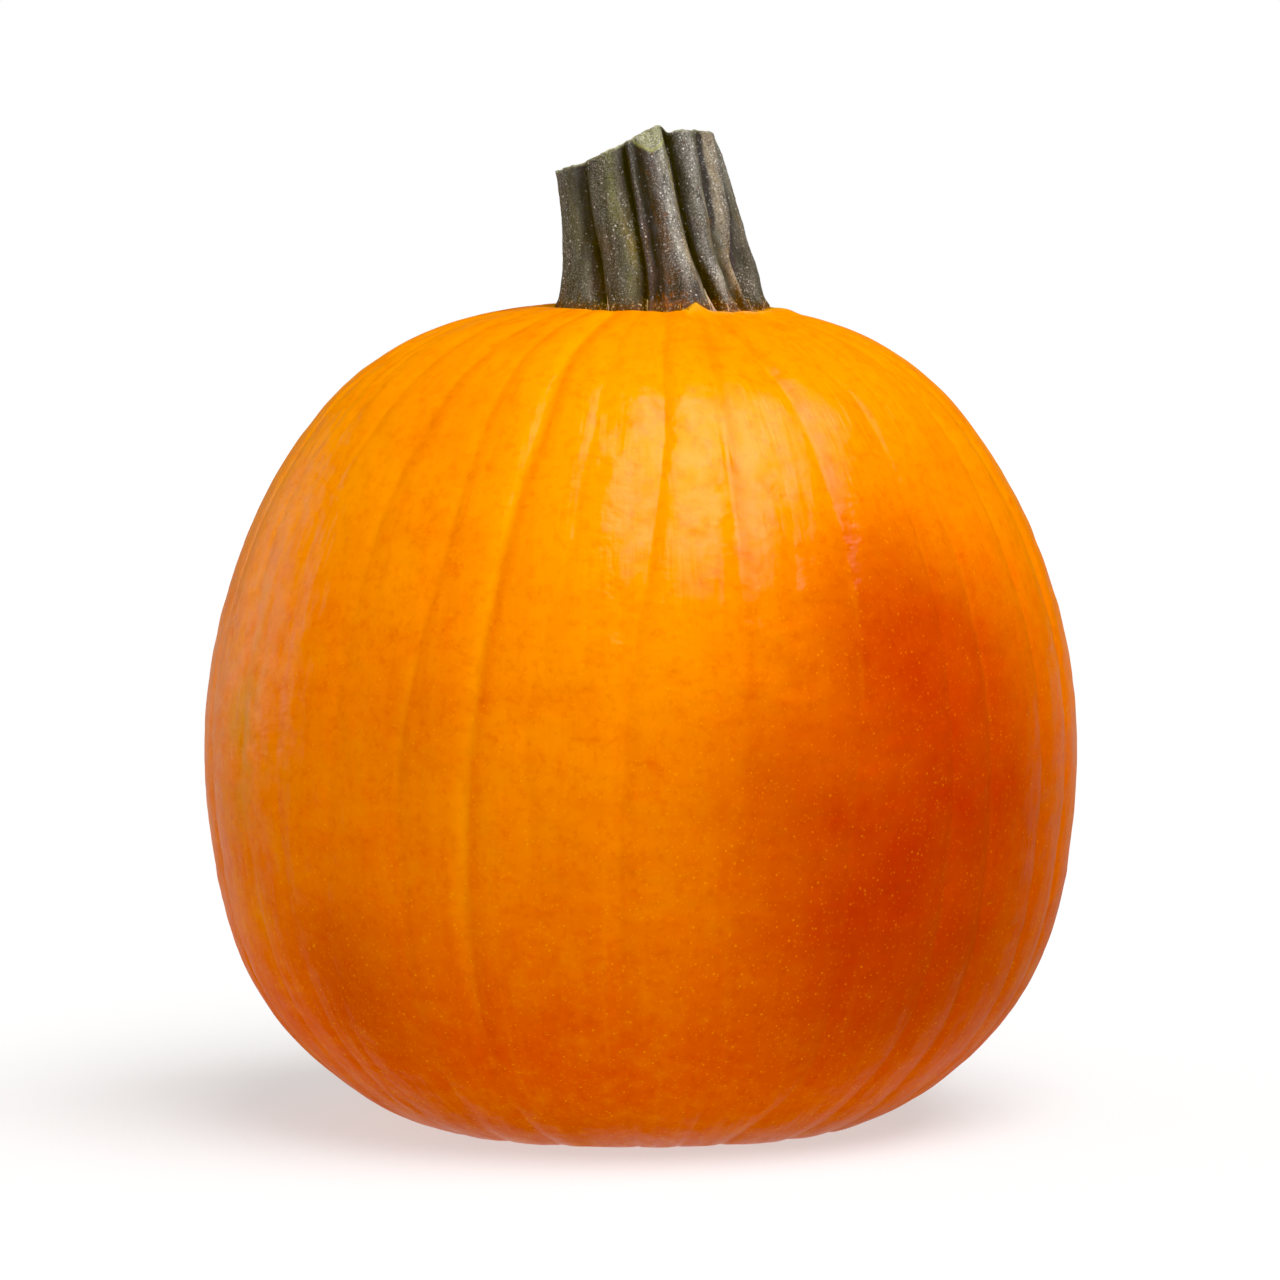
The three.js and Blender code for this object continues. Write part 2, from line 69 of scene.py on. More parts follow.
# depth, width, latitudes it fades in over, direction at each of GROOVE_LAT
GROOVES = [
    (0.45, 1.8, None, (-70, -66, -64, -62, -62, -62, -62, -63, -63.2, -64.5, -67, -67.8, -66.6, -67, -74, -80)),
    (0.2, 1.4, (12, 30), (-62, -59.5, -59.8, -58, -58, -58.3, -58.6, -59, -59.4, -60, -60.6, -61.6, -61.5, -63.6, -66, -70)),
    (0.42, 1.8, None, (-56, -56, -56.5, -53.5, -53.2, -53.3, -53.5, -53.8, -54, -54, -54.6, -54, -52.2, -51.5, -55, -60)),
    (0.36, 1.6, None, (-48, -50, -49.6, -48.4, -47.4, -46, -44.4, -43, -42.4, -42, -41.8, -41, -39.4, -39.2, -41, -46)),
    (0.55, 1.6, None, (-34, -35, -35, -34, -33.2, -32.4, -32.2, -32.2, -31.3, -30, -28.8, -28.1, -27.8, -28.2, -30, -35)),
    (1.05, 2.0, None, (-18, -19.5, -21.4, -23.8, -23.4, -23.1, -22.9, -22.4, -21.7, -21, -20, -19, -17.4, -17.6, -19, -25)),
    (0.30, 1.3, (-30, -8), (-8, -10, -11.5, -12.6, -13, -13.4, -13.8, -14.2, -14.4, -12.6, -9.8, -8.8, -7.6, -7.2, -8, -11)),
    (1.0, 1.7, None, (4, 1, -1.2, -2.1, -2.5, -2.7, -2.8, -2.3, -1.9, -0.7, 1.3, 2.8, 4.3, 4.2, 2.6, 0)),
    (0.9, 1.6, None, (10, 9.6, 10.2, 11.8, 12.2, 12.2, 12.4, 12.8, 13.2, 13.7, 14, 14, 14.5, 14.7, 13.8, 11)),
    (0.15, 1.3, (-26, -10), (16, 15.5, 16.4, 18, 18, 18, 18.4, 19.4, 19.8, 20.6, 21.8, 22.8, 22.4, 21.4, 17.5, 15.5)),
    (1.2, 2.0, None, (24, 21.5, 21.8, 27.4, 27.6, 27.2, 27.3, 28, 29.3, 30, 30.2, 30, 29.5, 27, 21.5, 19)),
    (0.9, 1.7, None, (40, 40, 40.5, 42, 42.5, 43, 43.4, 43.6, 43.8, 44, 44, 44, 44, 41.5, 37, 33)),
    (1.3, 1.9, None, (56, 55, 54.6, 52.4, 52, 51.8, 51.6, 51.4, 51.2, 51.2, 51.2, 50.6, 50.2, 50.8, 50, 46)),
    (0.8, 1.6, None, (68, 67, 66, 65.4, 65, 64.6, 64.4, 64.2, 64.2, 64.4, 64.6, 65, 65.4, 64, 62, 60)),
    (1.2, 1.8, None, (78, 77, 76, 75.4, 75, 74.8, 74.8, 75, 75.4, 76, 76.4, 76.6, 76.4, 75.6, 74, 73)),
    (0.5, 1.5, None, (89.7, 89.8, 89.7, 89.6, 89.5, 89.2, 88.9, 88.5, 88, 87.6, 87.1, 86.7, 86.4, 86.1, 85.9, 85.8)),
    (1.5, 1.9, None, (98.1, 99.1, 99.4, 99.6, 99.6, 99.4, 99.2, 98.9, 98.6, 98.4, 98.3, 98.3, 98.4, 98.7, 99.2, 99.9)),
    (0.7, 1.6, None, (111, 110.7, 110.4, 109.9, 109.6, 109.3, 109.1, 109, 109, 109.2, 109.5, 109.8, 110.2, 110.5, 110.8, 111)),
    (1.1, 1.7, None, (122.4, 122.2, 122.1, 121.9, 121.7, 121.6, 121.6, 121.6, 121.6, 121.7, 121.9, 122, 122.2, 122.3, 122.4, 122.4)),
    (0.5, 1.5, None, (132.6, 132.1, 131.6, 131.1, 130.7, 130.3, 130.1, 130, 130, 130.2, 130.4, 130.7, 131, 131.3, 131.5, 131.5)),
    (1.4, 1.9, None, (141.3, 141.2, 141.3, 141.4, 141.5, 141.8, 142.2, 142.6, 143, 143.5, 143.9, 144.3, 144.6, 144.9, 145.1, 145.1)),
    (0.8, 1.6, None, (152.3, 152.3, 152.5, 153, 153.5, 154.1, 154.8, 155.4, 155.9, 156.4, 156.7, 156.9, 156.9, 156.9, 156.7, 156.5)),
    (1.2, 1.8, None, (162.7, 162.8, 163, 163.3, 163.6, 164, 164.5, 165, 165.4, 165.8, 166.2, 166.5, 166.7, 166.8, 166.9, 166.9)),
    (0.5, 1.5, None, (174, 173.8, 173.9, 174.1, 174.4, 174.9, 175.3, 175.9, 176.4, 176.9, 177.3, 177.6, 177.8, 178, 178, 177.9)),
    (1.5, 1.9, None, (186.7, 187.2, 187.5, 187.8, 187.9, 188, 188.1, 188.1, 188.1, 188.1, 188.1, 188.1, 188.2, 188.3, 188.5, 188.9)),
    (0.7, 1.6, None, (200.4, 200.1, 199.9, 199.7, 199.5, 199.4, 199.2, 199.1, 198.9, 198.8, 198.6, 198.5, 198.3, 198.2, 198, 197.8)),
    (1, 1.7, None, (207.8, 208, 208.1, 208.2, 208.3, 208.3, 208.3, 208.3, 208.2, 208.1, 208, 207.9, 207.8, 207.7, 207.6, 207.6)),
    (1.4, 1.9, None, (218.5, 218.6, 218.7, 218.9, 219.2, 219.5, 219.7, 220, 220.3, 220.6, 220.8, 220.9, 221, 221.1, 221.1, 221.1)),
    (0.5, 1.5, None, (231.2, 230.9, 230.7, 230.5, 230.3, 230.2, 230.1, 230, 229.9, 229.8, 229.7, 229.6, 229.5, 229.4, 229.3, 229.2)),
    (0.9, 1.7, None, (241.3, 241.3, 241.3, 241.3, 241.4, 241.5, 241.7, 241.8, 242, 242.2, 242.4, 242.6, 242.7, 242.8, 242.8, 242.8)),
    (1.5, 1.9, None, (251.8, 252.2, 252.4, 252.6, 252.8, 252.9, 253, 253.1, 253.1, 253.2, 253.2, 253.3, 253.3, 253.4, 253.6, 253)),
    (0.6, 1.5, None, (264.2, 264.3, 264.3, 264.3, 264.2, 264, 263.8, 263.4, 263.1, 262.7, 262.3, 262, 261.7, 261.5, 261.3, 259.5)),
    (1.1, 1.7, None, (274.4, 274.5, 274.5, 274.5, 274.4, 274.3, 274.2, 274, 273.9, 273.7, 273.6, 273.5, 273.5, 273.5, 272, 266)),
    (0.8, 1.6, None, (282.5, 285.4, 285.5, 285.2, 284.9, 284.5, 284, 283.6, 283.2, 282.9, 282.7, 282.7, 282.8, 283.1, 278.5, 272.5)),
]
LOBE_SWELL = 0.30
LINE_WEIGHT = {5: 1.0, 7: 0.40, 8: 0.30, 9: 0.3, 10: 0.45, 4: 1.1, 3: 1.2, 2: 1.1}
CREASE_SHADE_WEIGHT = {5: 1.0, 4: 0.60, 3: 0.50, 2: 0.45, 7: 0.40, 8: 0.60, 10: 0.60, 11: 0.3, 12: 0.4}

STALK_H = [215.4, 217.9, 224, 230, 238, 246, 252, 258, 264, 270]
STALK_X = [6.0, 5.9, 5.75, 4.8, 3.2, 1.6, 0.4, -0.7, -1.8, -2.9]
STALK_R = [28.3, 27.5, 26.6, 25.4, 24.3, 23.2, 22.6, 22.0, 21.4, 20.8]
STALK_T = [0, 0.12, 0.3, 0.55, 0.8, 1.0]
# direction at each of STALK_T, depth, and how much of the depth is left at the top
STALK_GROOVES = [
    ((-36, -39.5, -43.5, -47.5, -48.5, -48.5), 3.6, 1.0),
    ((-9.8, -10.2, -10.8, -11, -10.8, -10.5), 3.3, 1.0),
    ((-3.8, -3.6, -3.5, -3, -2.5, -2), 1.8, 0.7),
    ((32, 27.5, 22.5, 22.6, 24.3, 23.2), 4.2, 1.0),
    ((48, 43.5, 38.5, 44, 49.5, 53), 2.4, 1.1),
    ((56, 50.5, 50, 63.5, 71, 75), 2.6, 0.35),
    ((98, 97, 96, 96, 97, 98), 2.6, 1.0),
    ((118, 117, 116, 116, 116, 117), 2.4, 1.0),
    ((138, 137, 136, 135, 134, 134), 3.2, 1.0),
    ((155, 154.5, 154, 154, 153.5, 153), 2.0, 0.8),
    ((176, 175.5, 175, 174, 173, 173), 3.6, 1.0),
    ((197, 197, 196.5, 196, 195, 194), 2.4, 1.0),
    ((219, 219, 219, 218.5, 217, 216), 3.2, 1.0),
    ((240, 239.5, 239, 238, 237, 236), 2.2, 0.9),
    ((259, 258, 257, 255.5, 254, 253), 2.8, 1.0),
]
CUT_X = [-30, -22.3, -14.2, -5, 2.5, 4.4, 5.6, 6.8, 10, 17, 19.5, 22, 30]
CUT_Z = [248.5, 251.9, 254.0, 258.25, 262.2, 263.05, 262.9, 261.5, 262.0, 262.1, 261.0, 257.0, 250]
CUT_FALL = 0.06

# ------------------------------------------------------------------ small maths
def curve(x, xs, ys):
    xs, ys = np.asarray(xs, float), np.asarray(ys, float)
    m = np.zeros(len(xs))
    m[1:-1] = (ys[2:] - ys[:-2]) / (xs[2:] - xs[:-2])
    x = np.clip(x, xs[0], xs[-1])
    k = np.clip(np.searchsorted(xs, x, side="left") - 1, 0, len(xs) - 2)
    h = xs[k + 1] - xs[k]
    t = (x - xs[k]) / h
    return ((2 * t**3 - 3 * t**2 + 1) * ys[k] + (t**3 - 2 * t**2 + t) * h * m[k]
            + (-2 * t**3 + 3 * t**2) * ys[k + 1] + (t**3 - t**2) * h * m[k + 1])


def smooth(a, b, x):
    t = np.clip((x - a) / (b - a), 0, 1)
    return t * t * (3 - 2 * t)


def bell(x, centre, width):
    return np.exp(-(((x - centre) / width) ** 2))


_GRAD = np.array([(1, 1, 0), (-1, 1, 0), (1, -1, 0), (-1, -1, 0), (1, 0, 1), (-1, 0, 1), (1, 0, -1), (-1, 0, -1),
                  (0, 1, 1), (0, -1, 1), (0, 1, -1), (0, -1, -1)], float)


def _hash(i, j, k, seed):
    h = (i.astype(np.uint32) * np.uint32(374761393) + j.astype(np.uint32) * np.uint32(668265263)
         + k.astype(np.uint32) * np.uint32(2246822519) + np.uint32((seed * 3266489917 + 374761393) & 0xFFFFFFFF))
    h = (h ^ (h >> np.uint32(13))) * np.uint32(1274126177)
    h = (h ^ (h >> np.uint32(15))) * np.uint32(2654435761)
    return h ^ (h >> np.uint32(16))


def noise(x, y, z, seed=0):
    x, y, z = np.broadcast_arrays(np.asarray(x, float), np.asarray(y, float), np.asarray(z, float))
    fi, fj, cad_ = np.floor(x), np.floor(y), np.floor(z)
    u, v, w = x - fi, y - fj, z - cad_
    i, j, k = fi.astype(np.int64), fj.astype(np.int64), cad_.astype(np.int64)
    su, sv, sw = (t * t * t * (t * (t * 6 - 15) + 10) for t in (u, v, w))
    out = np.zeros_like(x)
    for a in (0, 1):
        for b in (0, 1):
            for c in (0, 1):
                g = _GRAD[_hash(i + a, j + b, k + c, seed) % np.uint32(12)]
                d = g[..., 0] * (u - a) + g[..., 1] * (v - b) + g[..., 2] * (w - c)
                out += (su if a else 1 - su) * (sv if b else 1 - sv) * (sw if c else 1 - sw) * d
    return out


def fbm(x, y, z, seed=0, octaves=3, gain=0.5):
    out, amp = 0.0, 1.0
    for o in range(octaves):
        out = out + amp * noise(x * 2**o, y * 2**o, z * 2**o, seed + 17 * o)
        amp *= gain
    return out


# ------------------------------------------------------------------ meshes
def grid_faces(rings, wrap_cols, bottom=None, top=None):
    """Faces of a closed tube of rings, each an array of vertex indices, with an end vertex below and above."""
    quads = []
    for lo, hi in zip(rings[:-1], rings[1:]):
        a, b = lo, np.roll(lo, -1)
        d, e = hi, np.roll(hi, -1)
        quads.append(np.stack([a, b, e, d], axis=1))
    tris = []
    if bottom is not None:
        a, b = rings[0], np.roll(rings[0], -1)
        tris.append(np.stack([np.full_like(a, bottom), b, a], axis=1))
    if top is not None:
        a, b = rings[-1], np.roll(rings[-1], -1)
        tris.append(np.stack([np.full_like(a, top), a, b], axis=1))
    return np.concatenate(quads), (np.concatenate(tris) if tris else np.zeros((0, 3), int))


def make_mesh(name, verts_mm, quads, tris, uv_quads, uv_tris, attrs, smooth_shade=True):
    v = np.asarray(verts_mm, float) * MM
    me = bpy.data.meshes.new(name)
    nq, nt = len(quads), len(tris)
    me.vertices.add(len(v))
    me.vertices.foreach_set("co", v.ravel())
    me.loops.add(nq * 4 + nt * 3)
    me.polygons.add(nq + nt)
    loops = np.concatenate([np.asarray(quads).ravel(), np.asarray(tris).ravel()]).astype(np.int32)
    starts = np.concatenate([np.arange(nq) * 4, nq * 4 + np.arange(nt) * 3]).astype(np.int32)
    me.loops.foreach_set("vertex_index", loops)
    me.polygons.foreach_set("loop_start", starts)
    me.polygons.foreach_set("use_smooth", np.full(nq + nt, smooth_shade))
    me.update(calc_edges=True)
    if uv_quads is not None:
        uv = me.uv_layers.new(name="OFBake")
        data = np.concatenate([np.asarray(uv_quads, float).reshape(-1, 2), np.asarray(uv_tris, float).reshape(-1, 2)])
        uv.data.foreach_set("uv", data.ravel())
    for key, val in attrs.items():
        val = np.asarray(val, float)
        if val.ndim == 2:
            at = me.attributes.new(key, "FLOAT_VECTOR", "POINT")
            at.data.foreach_set("vector", val.ravel())
        else:
            at = me.attributes.new(key, "FLOAT", "POINT")
            at.data.foreach_set("value", val.ravel())
    me.validate()
    ob = bpy.data.objects.new(name, me)
    bpy.context.scene.collection.objects.link(ob)
    return ob


# ------------------------------------------------------------------ fruit
_pt = np.linspace(90, 25, 1301)
_rt = curve(_pt, LATITUDE, PROFILE) * np.cos(np.radians(_pt))
_zt = AXIS_Z + curve(_pt, LATITUDE, PROFILE) * np.sin(np.radians(_pt))


def smooth_skin(lat, direc):
    rho = curve(lat, LATITUDE, PROFILE)
    p, t = np.radians(lat), np.radians(direc)
    r = rho * np.cos(p)
    z = AXIS_Z + rho * np.sin(p)
    x = r * np.sin(t) + SEAT_X * smooth(50, 76, lat)
    y = -r * np.cos(t)
    zc = np.interp(np.hypot(x, y), _rt, _zt)
    s = 1 - smooth(SEAT_R, SEAT_R + SEAT_BLEND, r)
    z = np.where(lat > 50, zc * (1 - s) + SEAT_Z * s, z)
    return np.stack([x, y, z], axis=-1)


def fruit_mesh():
    n = len(GROOVES)
    # rows by latitude: close together on the sides, closer still round the scar and the stalk
    lat_fine = np.linspace(-89.2, 89.2, 7137)
    rho = curve(lat_fine, LATITUDE, PROFILE)
    pr, pz = rho * np.cos(np.radians(lat_fine)), rho * np.sin(np.radians(lat_fine))
    arc = np.concatenate([[0], np.cumsum(np.hypot(np.diff(pr), np.diff(pz)))])
    weight = np.interp(lat_fine, [-90, -80, -78, -72, -60, -56, 60, 72, 75.5, 77, 90],
                       [0.62, 0.62, 0.45, 0.45, 0.7, 1.0, 1.0, 1.25, 1.25, 0.12, 0.12])
    w = np.concatenate([[0], np.cumsum(0.5 * (weight[1:] + weight[:-1]) * np.diff(arc))])
    rows = 236
    lats = np.interp(np.linspace(0, w[-1], rows), w, lat_fine)
    arcs = np.interp(lats, lat_fine, arc)
    # columns: each rib has its own, closer together beside the grooves
    dirs = np.array([curve(lats, GROOVE_LAT, gr[3]) for gr in GROOVES])          # n, rows
    dirs = np.vstack([dirs, dirs[0] + 360])
    gap = np.diff(dirs, axis=0).mean(axis=1)
    total = 420
    per = np.maximum(np.floor(gap / 360 * total).astype(int), 7)
    while per.sum() != total:
        k = np.argmax(gap / per) if per.sum() < total else np.argmin(np.where(per > 7, gap / per, 99))
        per[k] += 1 if per.sum() < total else -1
    cols = []
    rib_id, rib_t = [], []
    for i in range(n):
        for k in range(per[i]):
            t = k / per[i]
            u = t - 0.62 * math.sin(2 * math.pi * t) / (2 * math.pi)
            cols.append(dirs[i] + (dirs[i + 1] - dirs[i]) * u)
            rib_id.append(i)
            rib_t.append(u)
    D = np.array(cols).T                                                         # rows, cols
    rib_id, rib_t = np.array(rib_id), np.array(rib_t)
    L = np.repeat(lats[:, None], D.shape[1], axis=1)
    A = np.repeat(arcs[:, None], D.shape[1], axis=1)
    P = smooth_skin(L, D)
    e = 0.3
    du = smooth_skin(L, D + e) - smooth_skin(L, D - e)
    dv = smooth_skin(np.minimum(L + e, 89.9), D) - smooth_skin(L - e, D)
    N = np.cross(du, dv)
    N /= np.maximum(np.linalg.norm(N, axis=-1, keepdims=True), 1e-9)
    r = curve(L, LATITUDE, PROFILE) * np.cos(np.radians(L))
    mm = np.maximum(r, 1) * math.pi / 180
    ends = (smooth(SEAT_R - 1.0, SEAT_R + 8, np.where(L > 0, r, 999)) * smooth(10, 28, np.where(L < 0, r, 999))
            * np.where(L < -40, 1 - 0.25 * smooth(-40, -60, L), 1))
    broad = 1.0 + 3.6 * np.clip(r / 115, 0, 1)
    rs = np.random.RandomState(5)
    groove = np.zeros_like(L)
    pale_groove_and_highlight = np.zeros_like(L)
    crease = np.zeros_like(L)
    for i, (depth, width, fade, _) in enumerate(GROOVES):
        off = (D - dirs[i][:, None] + 180) % 360 - 180
        wl, wr = rs.uniform(0.8, 1.25, 2)
        s = np.abs(off) * mm / np.where(off < 0, wl, wr)
        wob = 1 + 0.35 * noise(i * 7.3, 0, A / 28.0, 31)
        a = depth * ends * wob * (smooth(fade[0], fade[1], L) if fade else 1)
        groove += 0.66 * a * (0.86 * np.exp(-(np.sqrt((s / width) ** 2 + 0.09) - 0.3)) + 0.14 * np.exp(-((s / broad) ** 2)))
        if i in (0, 1, 2, 3):
            groove -= 0.26 * a * (0.86 * np.exp(-(np.sqrt((s / width) ** 2 + 0.09) - 0.3)) + 0.14 * np.exp(-((s / broad) ** 2)))
        wide = 2.5
        if i == 5:
            wide = np.where(off * mm < 0.4, 5.0, 1.3)
        elif i in CREASE_SHADE_WEIGHT:
            wide = np.where(off * mm < 0.2, 3.2, 1.0)
        # painted shade: a dark line along the crease just beside each listed groove, stronger higher up
        if i in CREASE_SHADE_WEIGHT:
            at_mm = 2.3 if i == 5 else 1.5
            dark = (off * mm - at_mm) / np.where(off * mm < at_mm, 1.0, 2.2 if i == 5 else 1.6)
            crease += CREASE_SHADE_WEIGHT[i] * np.exp(-(dark ** 2)) * smooth(-60, -40, L) * (0.6 + 0.4 * smooth(-20, 10, L)) * ends * (1 if i == 5 else 0.35 + 0.65 * smooth(-10, 35, L))
        # a paler tone along each groove, with painted highlight on the lit rib side beside it
        pale_groove_and_highlight += a / wob * LINE_WEIGHT.get(i, 0.38) * (1 + (0.3 if i == 5 else 0.8) * noise(i * 3.1, 0.5, A / 17.0, 33)) * np.exp(-(((off * mm - 0.4) / wide) ** 2)) \
            * (0.25 + 0.75 * smooth(-48, 2, L) + 0.55 * smooth(8, 34, L) if i == 5 else 0.35 + 0.65 * smooth(-40, 20, L))
    gaps = np.diff(dirs, axis=0)[rib_id].T
    swell = LOBE_SWELL * np.minimum(gaps / 11, 1.3) ** 1.6 * np.sin(np.pi * rib_t)[None, :] * ends * smooth(20, 80, np.hypot(P[..., 0], P[..., 1]))
    # coordinates that run with the ribs: round the fruit, and along them
    Rx, Ry = 110 * np.cos(np.radians(D)), 110 * np.sin(np.radians(D))
    lumps = 0.42 * noise(P[..., 0] / 52, P[..., 1] / 52, P[..., 2] / 52, 1) + 0.20 * noise(P[..., 0] / 22, P[..., 1] / 22, P[..., 2] / 26, 2)
    ripple = 0.15 * noise(Rx / 7.0, Ry / 7.0, A / 60, 3) + 0.10 * noise(Rx / 3.6, Ry / 3.6, A / 34, 4)
    side = smooth(-62, -45, L) * (1 - 0.75 * smooth(48, 66, L))
    skew = A + 0.35 * Rx
    wrinkle = (0.17 * noise(Rx / 7.5, Ry / 7.5, skew / 8.5, 5) + 0.13 * noise(Rx / 4.6, Ry / 4.6, skew / 5.6, 6) + 0.05 * noise(Rx / 3.3, Ry / 3.3, skew / 3.4, 7)) * side
    patch = 0.45 + 0.55 * smooth(-0.25, 0.35, noise(P[..., 0] / 38, P[..., 1] / 38, P[..., 2] / 38, 9))
    front = bell((D + 180) % 360 - 180, 15, 26) * bell(L, 18, 26)
    at = (D + 180) % 360 - 180
    creased = 0.9 * bell(at, -3, 5) * bell(L, 36, 18) + 0.8 * bell(at, 21, 7) * bell(L, 30, 12) - 0.25 * bell(at, 12, 16) * bell(L, 44, 10)
    wrinkle *= 1.4 * patch * (1 + 0.6 * front + creased)
    calm = smooth(SEAT_R, SEAT_R + 10, np.where(L > 0, r, 999))
    disp = (swell - groove) + (lumps + ripple * np.clip(r / 95, 0, 1)) * calm + wrinkle
    P = P + N * disp[..., None]
    # the collar where the skin climbs on to the stalk
    rr = np.hypot(P[..., 0] - SEAT_X, P[..., 1])
    turn = (D + 180) % 360 - 180
    climb = -1.45 + 0.9 * np.clip(noise(Rx / 17, Ry / 17, 0.5, 12), -0.3, 1) + 0.5 * noise(Rx / 4.5, Ry / 4.5, 0.5, 13) + 2.9 * bell(turn, 16, 7) + 1.0 * bell(turn, -13, 5) + 0.9 * bell(turn, -58, 6) + 0.9 * bell(turn, 78, 9)
    P[..., 2] += np.where(L > 50, climb * np.exp(-(((rr - 28.6) / 2.8) ** 2)), 0)
    # corky blossom scar
    und = L < -70
    rb = np.hypot(P[..., 0], P[..., 1])
    ang = np.radians(D)
    edge = SCAR_R + 1.1 * noise(np.cos(ang) * 2.2, np.sin(ang) * 2.2, 0.3, 21)
    scar = np.where(und, 1 - smooth(edge - 1.4, edge + 1.0, rb), 0)
    crack = fbm(P[..., 0] / 3.4, P[..., 1] / 3.4, 0.7, 22, 3)
    P[..., 2] -= scar * (SCAR_PROUD + 0.5 * crack - 0.5 * bell(rb, 0, 2.0)) + np.where(und, 0.5 * np.exp(-(((rb - edge - 1.2) / 1.0) ** 2)), 0)
    # flattened where it lay
    P[..., 2] = np.where(L < -40, 0.5 * (P[..., 2] + np.sqrt(P[..., 2] ** 2 + 0.05)), P[..., 2])
    P[..., 0] -= CENTRE[0]
    P[..., 1] -= CENTRE[1]

    nr, nc = D.shape
    verts = P.reshape(-1, 3)
    lowz = P[0, :, 2].mean() - 0.2
    top = np.array([SEAT_X - CENTRE[0], -CENTRE[1], SEAT_Z])
    verts = np.vstack([verts, [[-CENTRE[0], -CENTRE[1], lowz]], [top]])
    rings = [np.arange(nc) + i * nc for i in range(nr)]
    quads, tris = grid_faces(rings, True, bottom=nr * nc, top=nr * nc + 1)
    # unwrap: the side as one band, the two ends as discs
    split_lo = int(np.searchsorted(lats, -76))
    split_hi = int(np.searchsorted(lats, 75.3))
    a0, a1 = arcs[split_lo], arcs[split_hi]
    cu = np.arange(nc + 1) / nc
    row_v = 0.004 + 0.862 * (arcs - a0) / (a1 - a0)
    rq = np.repeat(np.arange(nr - 1), nc)
    cq = np.tile(np.arange(nc), nr - 1)
    band = np.stack([
        np.stack([0.002 + 0.996 * cu[cq], row_v[rq]], -1), np.stack([0.002 + 0.996 * cu[cq + 1], row_v[rq]], -1),
        np.stack([0.002 + 0.996 * cu[cq + 1], row_v[rq + 1]], -1), np.stack([0.002 + 0.996 * cu[cq], row_v[rq + 1]], -1)], 1)
    vx, vy = verts[:, 0], verts[:, 1]

    def disc(idx, cx, cy, ox, scale):
        return np.stack([cx + (vx[idx] - ox) * scale, cy + vy[idx] * scale], -1)

    lo_q, hi_q = rq < split_lo, rq >= split_hi
    band[lo_q] = disc(quads[lo_q], 0.07, 0.935, 0, 0.0019)
    band[hi_q] = disc(quads[hi_q], 0.21, 0.935, SEAT_X, 0.0019)
    half = len(tris) // 2
    uvt = np.concatenate([disc(tris[:half], 0.07, 0.935, 0, 0.0019), disc(tris[half:], 0.21, 0.935, SEAT_X, 0.0019)])

    flat = lambda a, lo, hi: np.concatenate([np.asarray(a, float).ravel(), [lo, hi]])
    rib = np.stack([Rx, Ry, A], -1).reshape(-1, 3) * MM
    rib = np.vstack([rib, [[0, 0, 0]], [[0, 0, arcs[-1] * MM]]])
    theta = (D + 180) % 360 - 180
    # deep red-orange blush in patches round the fruit; the broad patches on the right side are partly painted shade
    # that darkens and reddens that side
    blush_and_painted_shade = (1.32 * bell(theta, 44, 29) * bell(L, -9, 29) + 0.25 * bell(theta, 14, 10) * bell(L, -6, 14) + 0.35 * bell(theta, 46, 13) * bell(L, -12, 22) + 0.44 * bell(theta, 32, 11) * bell(L, -14, 13)
             + 0.34 * bell(theta, 30, 16) * bell(L, -32, 14) + 0.55 * bell(theta, 35, 13) * bell(L, 19, 14) + 0.30 * bell(theta, 43, 9) * bell(L, 12, 11) + 0.22 * bell(theta, -40, 16) * bell(L, 50, 16) + 1.0 * bell(theta, -86, 9) * smooth(46, 40, rr) * (L > 0)
             + 0.75 * bell(theta, -43, 12) * bell(L, -32, 15) + 0.35 * bell(theta, -30, 9) * bell(L, 2, 10)
             + 0.7 * bell(theta, 120, 24) * bell(L, -10, 26) + 0.6 * bell(theta, -125, 26) * bell(L, -25, 22)
             + 0.5 * bell(theta, 175, 16) * bell(L, 12, 18))
    blush_and_painted_shade = 1 - np.exp(-1.3 * np.clip(blush_and_painted_shade, 0, None) ** 1.5)
    olive = bell(theta, -62, 9) * bell(L, 2, 18)
    matt = 0.70 * bell(theta, -13.5, 4.5) + 0.40 * bell(theta, -21, 3.0) * (L > 0) + 0.80 * bell(theta, 52, 8) * (L > 20)
    # lighter yellow-orange patches; those on the front are painted light where the soft box falls
    yellow_and_painted_light = (0.50 * bell(theta, 12, 20) * bell(L, 40, 12) + 0.42 * bell(theta, 0, 24) * bell(L, 24, 22) + 0.22 * bell(theta, -12, 22) * bell(L, -6, 16) + 0.3 * bell(theta, 150, 30) * bell(L, 26, 24)
             + 0.3 * bell(theta, -110, 26) * bell(L, 30, 22))
    attrs = {
        "rib": rib,
        "flank": flat(smooth(22, 85, r), 0, 0),
        "pale_groove_and_highlight": flat(pale_groove_and_highlight, 0, 0),
        "crease": flat(crease, 0, 0),
        "matt": flat(matt, 0, 0),
        "cream": flat(bell(theta, 37, 15) * (L > 50) + 0.5 * bell(theta, -48, 12) * (L > 50), 0, 0),
        "lat": flat(L / 90, -1, 1),
        "stalk_d": flat(np.where(L > 0, rr, 200), 200, 0),
        "scar": flat(scar, 1, 0),
        "blossom_d": flat(np.where(L < 0, rb, 200), 0, 200),
        "blush_and_painted_shade": flat(blush_and_painted_shade, 0, 0),
        "olive": flat(olive, 0, 0),
        "yellow_and_painted_light": flat(yellow_and_painted_light, 0, 0),
        "dip": flat(-disp, 0, 0),
    }
    ob = make_mesh("fruit_skin", verts, quads, tris, band, uvt, attrs)
    return ob


